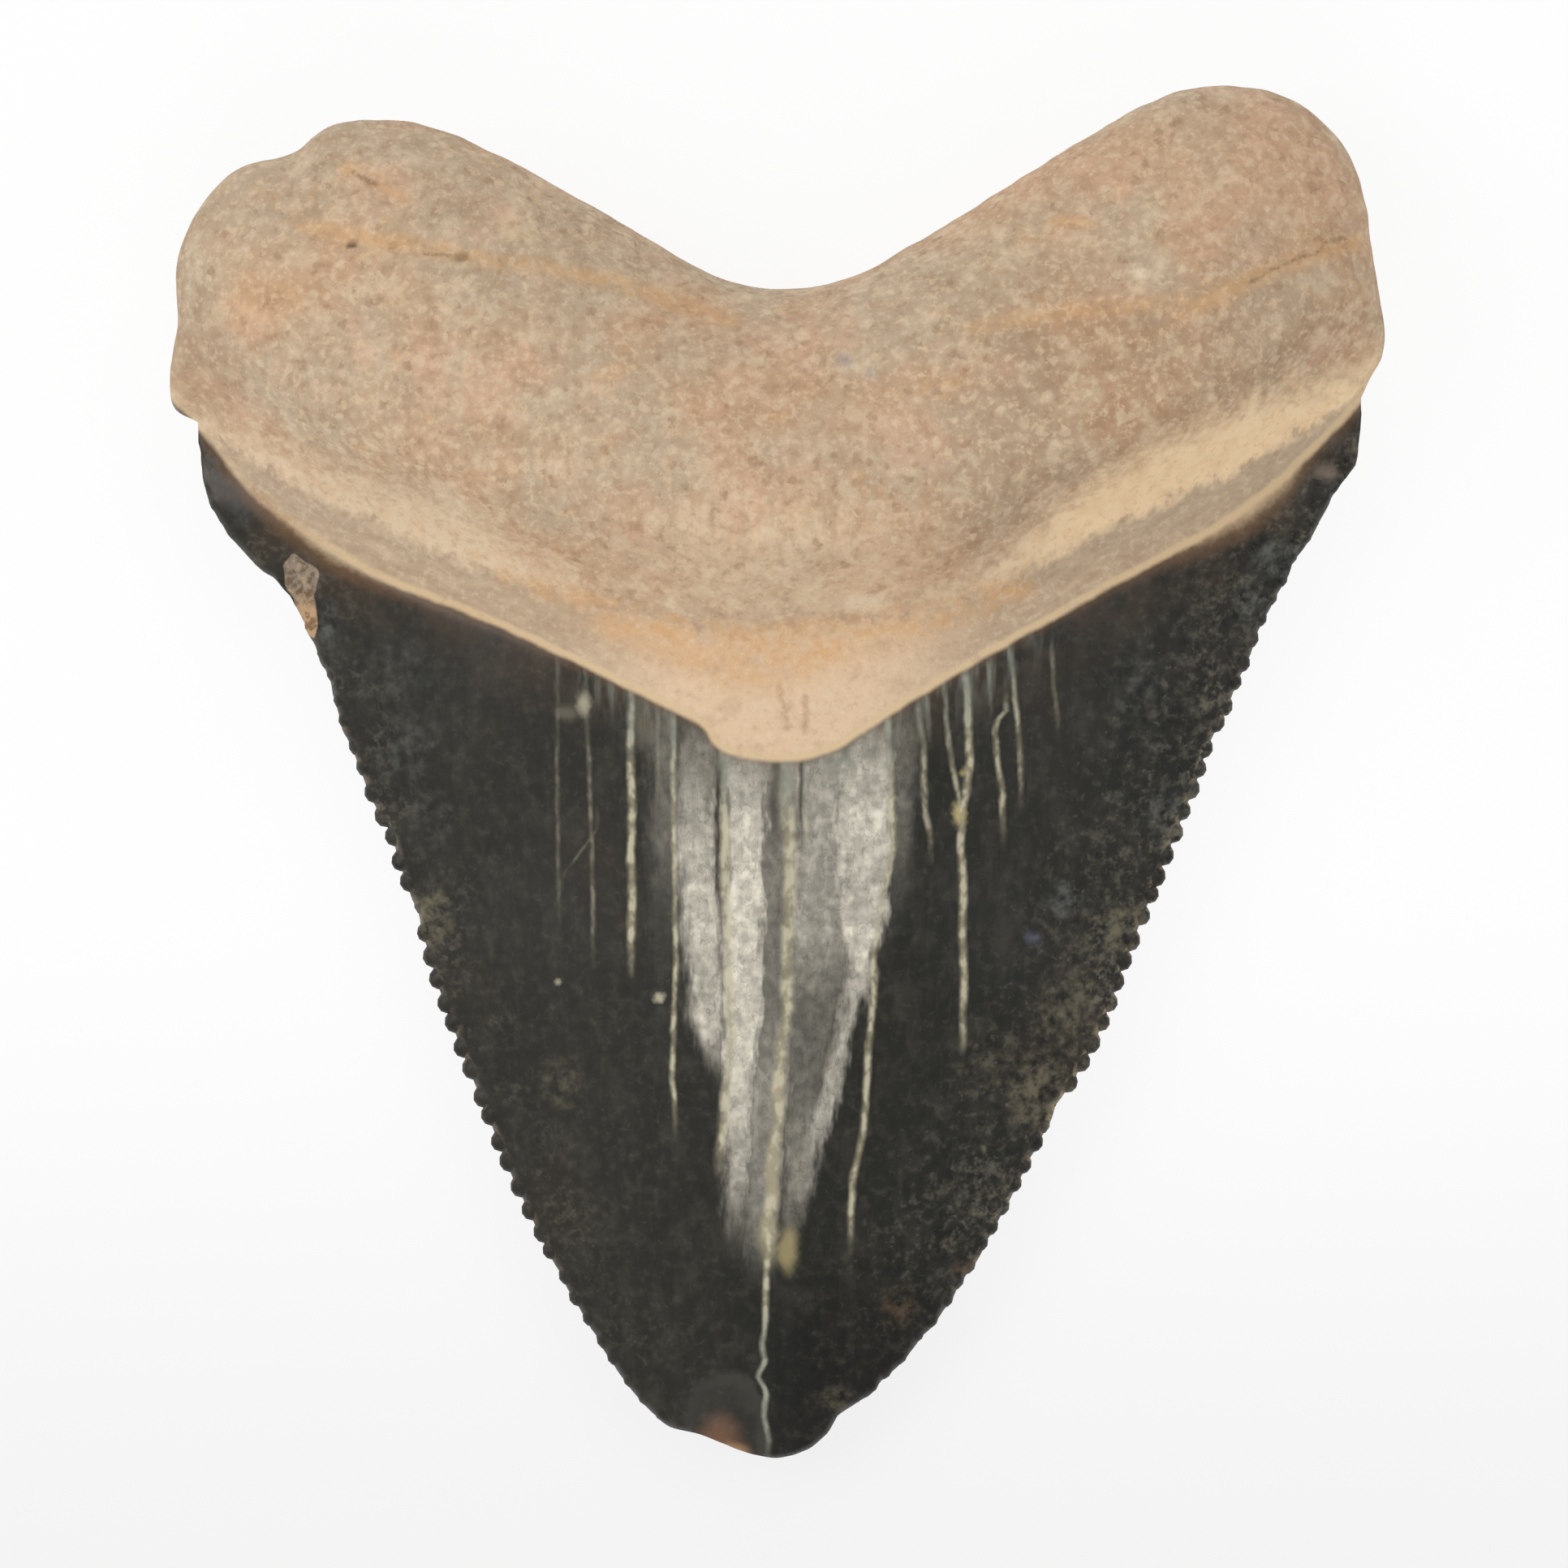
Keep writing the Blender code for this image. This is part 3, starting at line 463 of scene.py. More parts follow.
class FossilColours(bpy.types.PropertyGroup):
    root_tan: colour("Root tan", "Main colour of the root", 195, 161, 130)
    root_grey: colour("Root grey", "Greyish parts of the root", 187, 166, 140)
    root_pink: colour("Root pink", "Pinkish parts of the root", 213, 172, 144)
    # Its mix on the root's right side is partly painted shade.
    root_brown: colour("Root brown", "Brown flecks and the root's right side", 158, 126, 97)
    root_cream: colour("Root cream", "Cream flecks of the root", 230, 210, 180)
    ochre: colour("Ochre", "Ochre streaks", 212, 166, 116)
    # Its cream on the band is partly painted light against the slope's shade.
    band_cream: colour("Band cream", "Cream band along the shoulder", 222, 198, 167)
    # A peach made paler as painted light, against the shade on the band's right.
    band_peach_and_light: colour("Band peach", "The cream band's warmer right side", 246, 216, 174)
    # Its grey along the shoulder's foot is painted shade of the crease there.
    foot_grey_and_shade: colour("Foot grey", "Notches along the shoulder's foot", 160, 138, 122)
    chip_brown: colour("Chip", "Bare dentine where enamel is lost", 142, 129, 113)
    trough_grey: colour("Trough grey", "Trough of the dental band at the sides", 186, 164, 139)
    # It also makes the spot of partly painted light on the root's lower slope.
    trough_pink: colour("Trough pink", "Trough of the dental band in the middle", 222, 193, 161)
    limit_cream: colour("Enamel limit", "Cream line along the enamel", 216, 190, 152)
    fringe_brown: colour("Fringe brown", "Brown fringe of the enamel", 104, 78, 54)
    enamel_dark: colour("Enamel", "Charcoal of the enamel", 31, 31, 26)
    enamel_brown: colour("Enamel brown", "Brownish parts of the enamel", 40, 36, 30)
    # Its spread towards the left is painted light.
    enamel_mist: colour("Enamel mist", "Greyer clouds and streaks of the enamel", 58, 55, 48)
    shoulder_brown: colour("Shoulder brown", "Enamel next to the dental band", 68, 56, 45)
    dust: colour("Dust", "Pale dust in the enamel's pores", 112, 107, 92)
    grime: colour("Grime", "Dirt between the serrations", 168, 142, 106)
    olive: colour("Olive", "Olive clouds of dirt near the edges", 112, 105, 84)
    patch_white: colour("Patch white", "Pale patches of the enamel", 230, 223, 206)
    vein_olive: colour("Vein olive", "Mineral veins", 158, 150, 124)
    vein_grey: colour("Vein grey", "Veins and haze next to the dental band", 142, 147, 135)
    vein_cream: colour("Vein cream", "Pale parts of the veins", 196, 189, 162)
    vein_yellow: colour("Vein yellow", "Yellow blobs on the veins", 196, 180, 128)
    slate: colour("Slate", "Greyish clouds of worn enamel", 88, 90, 86)
    scar: colour("Scar", "Enamel under a lost flake", 62, 60, 54)
    # Near the tip it is also painted shade.
    enamel_black_and_shade: colour("Enamel black", "Darkest enamel, at the tip", 14, 14, 12)
    rust: colour("Rust", "Rusty spots", 152, 108, 80)
    blue_grey: colour("Blue grey", "Bluish mineral spots", 128, 132, 158)


class StudioSettings(bpy.types.PropertyGroup):
    floor: colour("Floor", "Colour of the pale floor", 90, 90, 90)
    sky: FloatProperty(name="Sky", description="Strength of the even light", default=0.4, min=0.0)
    ring_power: FloatProperty(
        name="Soft lights", description="Power of each soft light", default=0.42, unit="POWER"
    )
    ring_distance: length("Light distance", "Distance of the soft lights from the tooth", 420.0)
    ring_size: length("Light size", "Side of each soft light", 260.0)
    ring_height: FloatProperty(
        name="Light height", description="Angle of the soft lights over the floor",
        default=math.radians(42.0), subtype="ANGLE",
    )
    frame_width: length("Frame width", "Width of the picture at the tooth's edges", 55.2)
    lens: FloatProperty(name="Lens", description="Focal length in millimetres", default=400.0)


def smoothstep(low, high, value):
    """0 at low, rising smoothly to 1 at high, which may be the smaller of the two."""
    share = np.clip((value - low) / (high - low), 0.0, 1.0)
    return share * share * (3.0 - 2.0 * share)


def smooth_curve(points, step=LINE_STEP):
    """Centripetal Catmull-Rom curve through points given in millimetres."""
    p = np.array(points, float) * MM
    p = np.vstack([2.0 * p[0] - p[1], p, 2.0 * p[-1] - p[-2]])
    pieces = []
    for a, b, c, d in zip(p[:-3], p[1:-2], p[2:-1], p[3:]):
        t0 = 0.0
        t1 = t0 + math.sqrt(math.dist(a, b))
        t2 = t1 + math.sqrt(math.dist(b, c))
        t3 = t2 + math.sqrt(math.dist(c, d))
        count = max(2, round(math.dist(b, c) / step))
        t = np.linspace(t1, t2, count, endpoint=False)[:, None]
        ab = (t1 - t) / (t1 - t0) * a + (t - t0) / (t1 - t0) * b
        bc = (t2 - t) / (t2 - t1) * b + (t - t1) / (t2 - t1) * c
        cd = (t3 - t) / (t3 - t2) * c + (t - t2) / (t3 - t2) * d
        abc = (t2 - t) / (t2 - t0) * ab + (t - t0) / (t2 - t0) * bc
        bcd = (t3 - t) / (t3 - t1) * bc + (t - t1) / (t3 - t1) * cd
        pieces.append((t2 - t) / (t2 - t1) * abc + (t - t1) / (t2 - t1) * bcd)
    pieces.append(p[-2:-1])
    return np.vstack(pieces)


def run_along(line):
    """Distance of each point of a line from its first one."""
    return np.concatenate([[0.0], np.cumsum(np.linalg.norm(np.diff(line, axis=0), axis=1))])


def points_at(line, runs):
    """Points at distances along a line."""
    along = run_along(line)
    return np.column_stack([np.interp(runs, along, line[:, k]) for k in (0, 1)])


def outward_at(line, runs):
    """Unit vectors to the left of a clockwise line, which is away from the tooth."""
    reach = 0.4 * MM
    along = points_at(line, runs + reach) - points_at(line, runs - reach)
    along /= np.linalg.norm(along, axis=1)[:, None]
    return np.column_stack([-along[:, 1], along[:, 0]])


def distance(points, line):
    """Distance of each point from a line whose own points stand close together."""
    tree = kdtree.KDTree(len(line))
    for number, (x, y) in enumerate(line):
        tree.insert((x, y, 0.0), number)
    tree.balance()
    at = np.array([tree.find((x, y, 0.0))[1] for x, y in points])
    last = len(line) - 2
    before = np.where(at == 0, last if np.allclose(line[0], line[-1]) else 0, at - 1)
    nearest = np.full(len(points), np.inf)
    for first in (before, np.minimum(at, last)):
        away = points - line[first]
        piece = line[first + 1] - line[first]
        share = np.clip((away * piece).sum(1) / np.maximum((piece**2).sum(1), 1e-18), 0.0, 1.0)
        gap = away - share[:, None] * piece
        nearest = np.minimum(nearest, np.hypot(gap[:, 0], gap[:, 1]))
    return nearest


def height_over(points, line):
    """How far the points lie on the root's side of a line across the tooth."""
    x, y = points.T
    above = np.sign(y - np.interp(x, line[:, 0], line[:, 1]))
    return above * distance(points, line)


def inside(points, loop):
    """Whether each point lies within the closed loop."""
    x, y = points.T
    found = np.zeros(len(points), bool)
    for (x0, y0), (x1, y1) in zip(loop, np.roll(loop, -1, axis=0)):
        if y0 == y1:
            continue
        crosses = (y0 > y) != (y1 > y)
        found ^= crosses & (x < x0 + (y - y0) * (x1 - x0) / (y1 - y0))
    return found


def rounding(depth_in, reach, power):
    """0 at the rim, rising like a quarter of a rounded section to 1 at its reach."""
    share = np.clip(depth_in / reach, 0.0, 1.0)
    return (1.0 - (1.0 - share) ** power) ** (1.0 / power)


def from_middle(place, centre, radii):
    """0 in the middle of an ellipse and 1 on its edge, at places in millimetres."""
    away = (place - np.array(centre)) / np.array(radii)
    return np.hypot(away[:, 0], away[:, 1])


def scooped(points, centre, radii, depth, softness):
    """A flake's scar: a low step at its edge and a slope towards its centre."""
    share = np.clip(1.0 - from_middle(points / MM, centre, radii), 0.0, 1.0)
    return depth * MM * (0.3 * smoothstep(0.0, softness, share) + 0.7 * share)


def rough(points, size, octaves=1, seed=0.0):
    """Smooth noise between about -1 and 1 at points of two or three coordinates."""
    flat = points if points.shape[1] == 3 else np.column_stack([points, np.zeros(len(points))])
    shift = Vector((seed, 2.0 * seed, -seed))
    return np.array([noise.fractal(Vector(p) / size + shift, 0.9, 2.1, octaves) for p in flat])


def drift(corners, reach, size, seed):
    """Uneven shifts along X and Y, in millimetres, that roughen the edges of drawn marks."""
    shifts = [reach * rough(corners, size * MM, 2, start) for start in (seed, seed + 10.0)]
    return np.column_stack(shifts)


class Tooth:
    """The outline and the lines on the tooth that its two faces are shaped from."""

    def __init__(self, sizes, beads):
        self.sizes = sizes
        rim = smooth_curve(ROOT_RIM)
        right = smooth_curve(RIGHT_EDGE)
        tip = smooth_curve(TIP)
        left = smooth_curve(LEFT_EDGE)
        lowest = int(np.argmin(tip[:, 1]))
        self.right_side = np.vstack([right, tip[: lowest + 1]])
        self.left_side = np.vstack([tip[lowest:], left])
        self.right_valleys, self.right_strength = self.valleys(
            right, RIGHT_SERRATION, RIGHT_NICKS, beads.valley
        )
        self.left_valleys, self.left_strength = self.valleys(
            left, LEFT_SERRATION, LEFT_NICKS, beads.valley
        )
        self.outline = np.vstack(
            [
                self.evenly(rim, 0.05 * MM, 1.3 * MM),
                self.right_valleys[:-1],
                self.evenly(tip, 0.03 * MM, 0.8 * MM),
                self.left_valleys[:-1],
            ]
        )
        self.closed = np.vstack([self.outline, self.outline[:1]])
        self.shoulder = smooth_curve(SHOULDER_LINE)
        self.enamel = smooth_curve(ENAMEL_LINE)
        self.labial = smooth_curve(LABIAL_LINE)

    @staticmethod
    def evenly(line, height, size):
        """Points along a line, made slightly uneven, without its last one."""
        whole = run_along(line)[-1]
        runs = np.linspace(0.0, whole, round(whole / RIM_STEP), endpoint=False)
        ends = smoothstep(0.0, 1.0 * MM, runs) * smoothstep(0.0, 1.0 * MM, whole - runs)
        points = points_at(line, runs)
        return points + outward_at(line, runs) * (height * ends * rough(points, size, 2))[:, None]

    @staticmethod
    def valleys(line, serration, nicks, depth):
        """The line that the serrations' valleys lie on, and how strong the serrations are."""
        whole = run_along(line)[-1]
        runs = np.linspace(0.0, whole, round(whole / RIM_STEP))
        points = points_at(line, runs)
        strength = np.interp(points[:, 1] / MM, *np.array(serration).T)
        ends = smoothstep(0.0, 1.0 * MM, runs) * smoothstep(0.0, 1.0 * MM, whole - runs)
        everywhere, smooth, size = EDGE_WAVES
        waves = smooth * (1.0 - strength) + everywhere
        rise = ends * waves * MM * rough(points, size * MM, 2)
        rise -= depth * strength
        for place, half, deep in nicks:
            share = np.clip(1.0 - np.abs(points[:, 1] / MM - place) / half, 0.0, 1.0)
            rise -= deep * MM * np.sqrt(share)
        return points + outward_at(line, runs) * rise[:, None], strength

    def edge_height(self, points):
        """Height of the cutting edges, which rise from the tip to the root."""
        sizes = self.sizes
        share = np.clip((points[:, 1] / MM - EDGE_START) / EDGE_LENGTH, 0.0, 1.0)
        return sizes.edge_at_tip + (sizes.edge_at_root - sizes.edge_at_tip) * share**EDGE_POWER

    def rim_height(self, points):
        """Height of the line where the two faces meet."""
        rooted = smoothstep(-0.6 * MM, 1.2 * MM, height_over(points, self.enamel))
        edge = self.edge_height(points)
        return edge + (self.sizes.root_rim_height - edge) * rooted

    def upper(self, points):
        """Height of the lingual face."""
        sizes = self.sizes
        over_enamel = height_over(points, self.enamel)
        over_shoulder = height_over(points, self.shoulder)
        depth_in = distance(points, self.closed)
        rim = self.rim_height(points)
        left = distance(points, self.left_side)
        right = distance(points, self.right_side)
        width = np.maximum(left + right, 1e-9)
        rise = sizes.crown_rise * (width / sizes.crown_width) ** CROWN_POWER
        rise = rise * 4.0 * left * right / width**2
        crown = self.edge_height(points) + np.hypot(rise, sizes.edge_half)
        trough = (over_shoulder + sizes.trough_width) / sizes.trough_width
        crown -= sizes.trough_depth * np.exp(-(trough**2))
        behind = np.maximum(points[:, 1] / MM - BACK_START, 0.0) / BACK_LENGTH
        root = sizes.root_top - sizes.root_lobe_drop * (points[:, 0] / (ROOT_HALF * MM)) ** 2
        height, size = ROOT_SWELLS
        root += height * MM * rough(points, size * MM) - sizes.root_back_drop * behind**2
        face = crown + (root - crown) * smoothstep(0.0, sizes.shoulder_width, over_shoulder)
        rooted = smoothstep(0.0, 2.0 * MM, over_enamel)
        reach = sizes.edge_round + (sizes.root_rim_reach - sizes.edge_round) * rooted
        face = rim + (face - rim) * rounding(depth_in, reach, LINGUAL_FULLNESS)
        for flake in FLAKES:
            face -= scooped(points, *flake) * rounding(depth_in, sizes.edge_round, EDGE_FULLNESS)
        return np.maximum(face, rim)

    def lower(self, points):
        """Height of the labial face, worn flat where it rests."""
        sizes = self.sizes
        away = (points - np.array(BOWL_MIDDLE) * MM) / (np.array(BOWL_RADII) * MM)
        bowl = BOWL_RISE * MM * (away**2).sum(1)
        over_labial = height_over(points, self.labial)
        place, half, deep = GROOVE
        groove = np.exp(-(((over_labial - place * MM) / (half * MM)) ** 2))
        depth_in = distance(points, self.closed)
        rim = self.rim_height(points)
        left = distance(points, self.left_side)
        right = distance(points, self.right_side)
        across = np.abs(left - right) / np.maximum(left + right, 1e-9)
        closing = rounding(depth_in, sizes.edge_round, EDGE_FULLNESS)
        crown = bowl + (rim - bowl) * across**3 - sizes.edge_half * closing
        root = rim - (rim - bowl) * rounding(depth_in, sizes.root_under_reach, LABIAL_FULLNESS)
        face = crown + (root - crown) * smoothstep(-1.8 * MM, 3.0 * MM, over_labial)
        face += deep * MM * groove - deep * MM
        return rim + (np.maximum(face, 0.0) - rim) * closing


def lattice(tooth, step):
    """Rings of points close along the rim and a triangular lattice within them."""
    whole = run_along(tooth.closed)[-1]
    runs = np.arange(0.0, whole, RIM_STEP)
    inner = []
    for count in range(1, RING_COUNT + 1):
        inset = RING_UNIT * count**2
        ring = points_at(tooth.closed, runs) - outward_at(tooth.closed, runs) * inset
        inner.append(ring[distance(ring, tooth.closed) > 0.96 * inset])
    low = tooth.outline.min(0)
    high = tooth.outline.max(0)
    rows = []
    for number, y in enumerate(np.arange(low[1], high[1], step * math.sqrt(0.75))):
        x = np.arange(low[0] + (number % 2) * step / 2.0, high[0], step)
        rows.append(np.column_stack([x, np.full(len(x), y)]))
    middle = np.vstack(rows)
    middle = middle[inside(middle, tooth.outline)]
    clear = RING_UNIT * RING_COUNT**2 + 0.6 * step
    inner.append(middle[distance(middle, tooth.closed) > clear])
    return np.vstack(inner)


def tooth_body(tooth):
    """The two faces, each a sheet of triangles within the outline, welded at the rim."""
    rim = tooth.outline[::-1]
    loop = list(range(len(rim)))
    shape = bmesh.new()
    faces = ((LINGUAL_STEP, tooth.upper, False), (LABIAL_STEP, tooth.lower, True))
    for step, lift, turned in faces:
        corners = [Vector(point) for point in np.vstack([rim, lattice(tooth, step)])]
        filled = geometry.delaunay_2d_cdt(corners, [], [loop], 1, 1e-8)
        points = np.array([tuple(corner) for corner in filled[0]])
        on_rim = distance(points, tooth.closed) < 1e-6
        heights = np.where(on_rim, tooth.rim_height(points), lift(points))
        placed = [shape.verts.new((x, y, z)) for (x, y), z in zip(points, heights)]
        for face in filled[2]:
            order = reversed(face) if turned else face
            shape.faces.new([placed[k] for k in order])
    bmesh.ops.remove_doubles(shape, verts=shape.verts, dist=1e-7)
    bmesh.ops.recalc_face_normals(shape, faces=shape.faces)
    mesh = bpy.data.meshes.new(PIECE)
    shape.to_mesh(mesh)
    shape.free()
    return mesh


def add_object(name, data):
    """A new object in the scene, at the origin."""
    made = bpy.data.objects.new(name, data)
    bpy.context.scene.collection.objects.link(made)
    return made


def evaluated_mesh(holder):
    """A new mesh with the object's modifiers applied."""
    evaluated = holder.evaluated_get(bpy.context.evaluated_depsgraph_get())
    return bpy.data.meshes.new_from_object(evaluated)


def valley_path(tooth, points, strength, lift):
    """A loose line along the valleys, carrying the way out and the strength for its beads."""
    heights = tooth.rim_height(points) + lift
    mesh = bpy.data.meshes.new("valleys")
    corners = [(x, y, z) for (x, y), z in zip(points, heights)]
    mesh.from_pydata(corners, [(k, k + 1) for k in range(len(corners) - 1)], [])
    out = outward_at(points, run_along(points))
    out = np.column_stack([out, np.zeros(len(out))])
    mesh.attributes.new("outward", "FLOAT_VECTOR", "POINT").data.foreach_set("vector", out.ravel())
    mesh.attributes.new("strength", "FLOAT", "POINT").data.foreach_set("value", strength)
    return add_object("valleys", mesh)


class Nodes:
    """Adds and links a tree's nodes. Any input may be a number, a colour or a socket."""

    def __init__(self, tree):
        self.tree = tree

    def node(self, kind, inputs=None, **settings):
        made = self.tree.nodes.new(kind)
        for name, value in settings.items():
            setattr(made, name, value)
        for name, value in (inputs or {}).items():
            self.feed(made.inputs[name], value)
        return made

    def feed(self, socket, value):
        if isinstance(value, bpy.types.NodeSocket):
            self.tree.links.new(value, socket)
        elif socket.type == "RGBA":
            socket.default_value = (*value[:3], 1.0)
        else:
            socket.default_value = value

    def math(self, operation, *values):
        return self.node("ShaderNodeMath", dict(enumerate(values)), operation=operation).outputs[0]

    def add(self, first, second):
        return self.math("ADD", first, second)

    def times(self, first, *others):
        for other in others:
            first = self.math("MULTIPLY", first, other)
        return first

    def linear(self, value, factor, plus):
        return self.math("MULTIPLY_ADD", value, factor, plus)

    def vector(self, operation, *values):
        made = self.node("ShaderNodeVectorMath", dict(enumerate(values)), operation=operation)
        return made.outputs["Vector"]


def bead_tree():
    """Geometry nodes that set one bead after another along a line."""
    tree = bpy.data.node_groups.new("serration_beads", "GeometryNodeTree")
    kinds = {"Geometry": "Geometry", **dict.fromkeys(BEAD_SIZES, "Float")}
    kinds.update({"Turn": "Int", "Seed": "Int", "Material": "Material"})
    for name, kind in kinds.items():
        tree.interface.new_socket(name, in_out="INPUT", socket_type="NodeSocket" + kind)
    tree.interface.new_socket("Geometry", in_out="OUTPUT", socket_type="NodeSocketGeometry")
    nodes = Nodes(tree)
    given = nodes.node("NodeGroupInput").outputs

    def random_share(low, high, shift):
        seed = nodes.add(given["Seed"], shift)
        made = nodes.node(
            "FunctionNodeRandomValue", {2: low, 3: high, "Seed": seed}, data_type="FLOAT"
        )
        return made.outputs[1]

    def named(name, kind):
        made = nodes.node("GeometryNodeInputNamedAttribute", {"Name": name}, data_type=kind)
        return made.outputs["Attribute"]

    def scaled(vector, factor):
        scale = {0: vector, "Scale": factor}
        return nodes.node("ShaderNodeVectorMath", scale, operation="SCALE").outputs[0]

    curve = nodes.node("GeometryNodeMeshToCurve", {"Mesh": given["Geometry"]}).outputs["Curve"]
    spaced = nodes.node(
        "GeometryNodeResampleCurve", {"Curve": curve, "Length": given["Pitch"]}, mode="LENGTH"
    )
    outward = named("outward", "FLOAT_VECTOR")
    strength = named("strength", "FLOAT")
    tangent = nodes.node("GeometryNodeInputTangent").outputs[0]
    size = nodes.add(nodes.times(random_share(-1.0, 0.6, 2), given["Uneven"]), 1.0)
    inset = nodes.math(
        "SUBTRACT", nodes.times(given["Reach"], size), nodes.times(given["Proud"], strength)
    )
    along = nodes.times(random_share(-1.0, 1.0, 1), given["Uneven"], given["Pitch"])
    offset = nodes.vector("SUBTRACT", scaled(tangent, along), scaled(outward, inset))
    moved = nodes.node(
        "GeometryNodeSetPosition", {"Geometry": spaced.outputs["Curve"], "Offset": offset}
    )

    ball = nodes.node(
        "GeometryNodeMeshUVSphere",
        {"Segments": BEAD_SEGMENTS, "Rings": BEAD_RINGS, "Radius": 1.0},
    )
    half_sizes = [given[name] for name in ("Reach", "Half Length", "Half Thickness")]
    shape = nodes.node("ShaderNodeCombineXYZ", dict(enumerate(half_sizes)))
    position = nodes.node("GeometryNodeInputPosition").outputs[0]
    place = nodes.node("ShaderNodeSeparateXYZ", {0: position})
    middle = nodes.math("SUBTRACT", 1.0, nodes.math("POWER", place.outputs["Y"], 2.0))
    marked = nodes.node(
        "GeometryNodeStoreNamedAttribute",
        {"Name": "bead", "Value": middle, "Geometry": ball.outputs["Mesh"]},
        data_type="FLOAT",
        domain="POINT",
    )
    bead = nodes.node(
        "GeometryNodeTransform", {"Geometry": marked.outputs["Geometry"], "Scale": shape.outputs[0]}
    )

    leaning = nodes.vector("ADD", outward, scaled(tangent, given["Lean"]))
    turn = nodes.node(
        "FunctionNodeAxesToRotation",
        {0: leaning, 1: (0.0, 0.0, 1.0)},
        primary_axis="X",
        secondary_axis="Z",
    )
    index = nodes.node("GeometryNodeInputIndex").outputs[0]
    parity = nodes.math("COMPARE", nodes.math("MODULO", index, 2), given["Turn"])
    present = nodes.times(nodes.math("GREATER_THAN", strength, WEAKEST_BEAD), parity)
    placed = nodes.node(
        "GeometryNodeInstanceOnPoints",
        {
            "Points": moved.outputs["Geometry"],
            "Instance": bead.outputs[0],
            "Selection": present,
            "Rotation": turn.outputs[0],
            "Scale": size,
        },
    )
    real = nodes.node("GeometryNodeRealizeInstances", {"Geometry": placed.outputs["Instances"]})
    painted = nodes.node(
        "GeometryNodeSetMaterial",
        {"Geometry": real.outputs["Geometry"], "Material": given["Material"]},
    )
    nodes.node("NodeGroupOutput", {"Geometry": painted.outputs["Geometry"]})
    return tree


def baked_beads(path, tree, values):
    """The beads along one path as a plain mesh. The path's object is removed."""
    modifier = path.modifiers.new("beads", "NODES")
    modifier.node_group = tree
    for item in tree.interface.items_tree:
        if item.in_out == "INPUT" and item.name in values:
            modifier[item.identifier] = values[item.name]
    mesh = evaluated_mesh(path)
    path.modifiers.remove(modifier)
    bpy.data.objects.remove(path)
    return mesh


def joined(meshes, name):
    """One mesh holding several, with their attributes."""
    shape = bmesh.new()
    for mesh in meshes:
        shape.from_mesh(mesh)
    whole = bpy.data.meshes.new(name)
    shape.to_mesh(whole)
    shape.free()
    whole.materials.append(meshes[0].materials[0])
    return whole


def united(body, beads):
    """Joins the beads to the body in one closed skin."""
    cutter = add_object("beads", beads)
    union = body.modifiers.new("union", "BOOLEAN")
    union.operation = "UNION"
    union.solver = "MANIFOLD"
    union.object = cutter
    mesh = evaluated_mesh(body)
    body.modifiers.remove(union)
    if len(mesh.polygons) in (0, len(body.data.polygons)):
        raise RuntimeError("the beads weren't joined to the tooth")
    mesh.materials.clear()
    mesh.materials.append(body.data.materials[0])
    body.data = mesh
    bpy.data.objects.remove(cutter)


class Zones:
    """Where each point of the finished skin lies on the tooth, in millimetres."""

    def __init__(self, tooth, corners):
        flat = corners[:, :2]
        self.lingual = (corners[:, 2] > tooth.rim_height(flat) - 0.001 * MM).astype(float)
        lingual = height_over(flat, tooth.enamel) / MM
        labial = height_over(flat, tooth.labial) / MM
        self.enamel = np.where(self.lingual > 0.5, lingual, labial)
        shoulder = height_over(flat, tooth.shoulder) / MM
        self.shoulder = np.where(self.lingual > 0.5, shoulder, labial - LABIAL_BAND)
        self.rim = distance(flat, tooth.closed) / MM

    def readings(self, corners):
        """Everything that the finish reads off the skin's points, by name."""
        x = corners[:, 0] / MM
        found = {name: getattr(self, name) for name in ("enamel", "shoulder", "rim", "lingual")}
        found["cream"] = np.interp(x, *np.array(CREAM_BAND).T) * self.lingual
        found["fringe"] = np.interp(x, *np.array(FRINGE).T)
        found["ochre"] = self.ochre(x)
        place = corners[:, :2] / MM + drift(corners, 0.12, 0.8, 4.0)
        found["chip"] = self.chip(place)
        found["crack"] = np.zeros(len(corners))
        for route in CRACKS:
            away = distance(place * MM, smooth_curve(route)) / MM
            share = smoothstep(0.26, 0.0, away) * self.lingual
            found["crack"] = np.maximum(found["crack"], share)
        # The scar's grey: its own colour, strongest near its edge as a painted highlight along it.
        across = from_middle(place + drift(corners, 0.2, 1.1, 24.0), *FLAKES[0][:2])
        fading = 0.35 + 0.65 * smoothstep(0.5, 0.95, across)
        found["scar"] = smoothstep(1.03, 0.94, across) * fading * self.lingual
        for centre, radii, strength, name in SPOTS:
            share = strength * smoothstep(1.15, 0.35, from_middle(place, centre, radii))
            self.stain(found, name, share)
        for half, strength, name, route in STREAKS:
            away = distance(place * MM, smooth_curve(route)) / MM
            self.stain(found, name, strength * smoothstep(half, 0.0, away))
        return found

    def ochre(self, x):
        """The ochre zone under the shoulder, weaker towards the right."""
        foot = -np.interp(x, *np.array(OCHRE_BAND).T)
        share = smoothstep(0.5, 0.1, self.shoulder) * self.lingual
        share *= smoothstep(foot - 0.5, foot + 0.6, self.shoulder)
        share *= 1.0 - 0.4 * smoothstep(0.5, 3.5, x)
        return share * smoothstep(0.0, -0.5, foot)

    def stain(self, found, name, share):
        """Adds a mark to the stain of its colour, where it is the stronger one."""
        kept = found.get("stain_" + name, 0.0)
        found["stain_" + name] = np.maximum(kept, share * self.lingual)

    def chip(self, place):
        """How deep a point lies in the bare chip, negative outside it."""
        loop = np.array(CHIP + CHIP[:1])
        away = distance(place, points_at(loop, np.linspace(0.0, run_along(loop)[-1], 120)))
        return np.where((self.lingual > 0.5) & inside(place, loop[:-1]), away, -away)


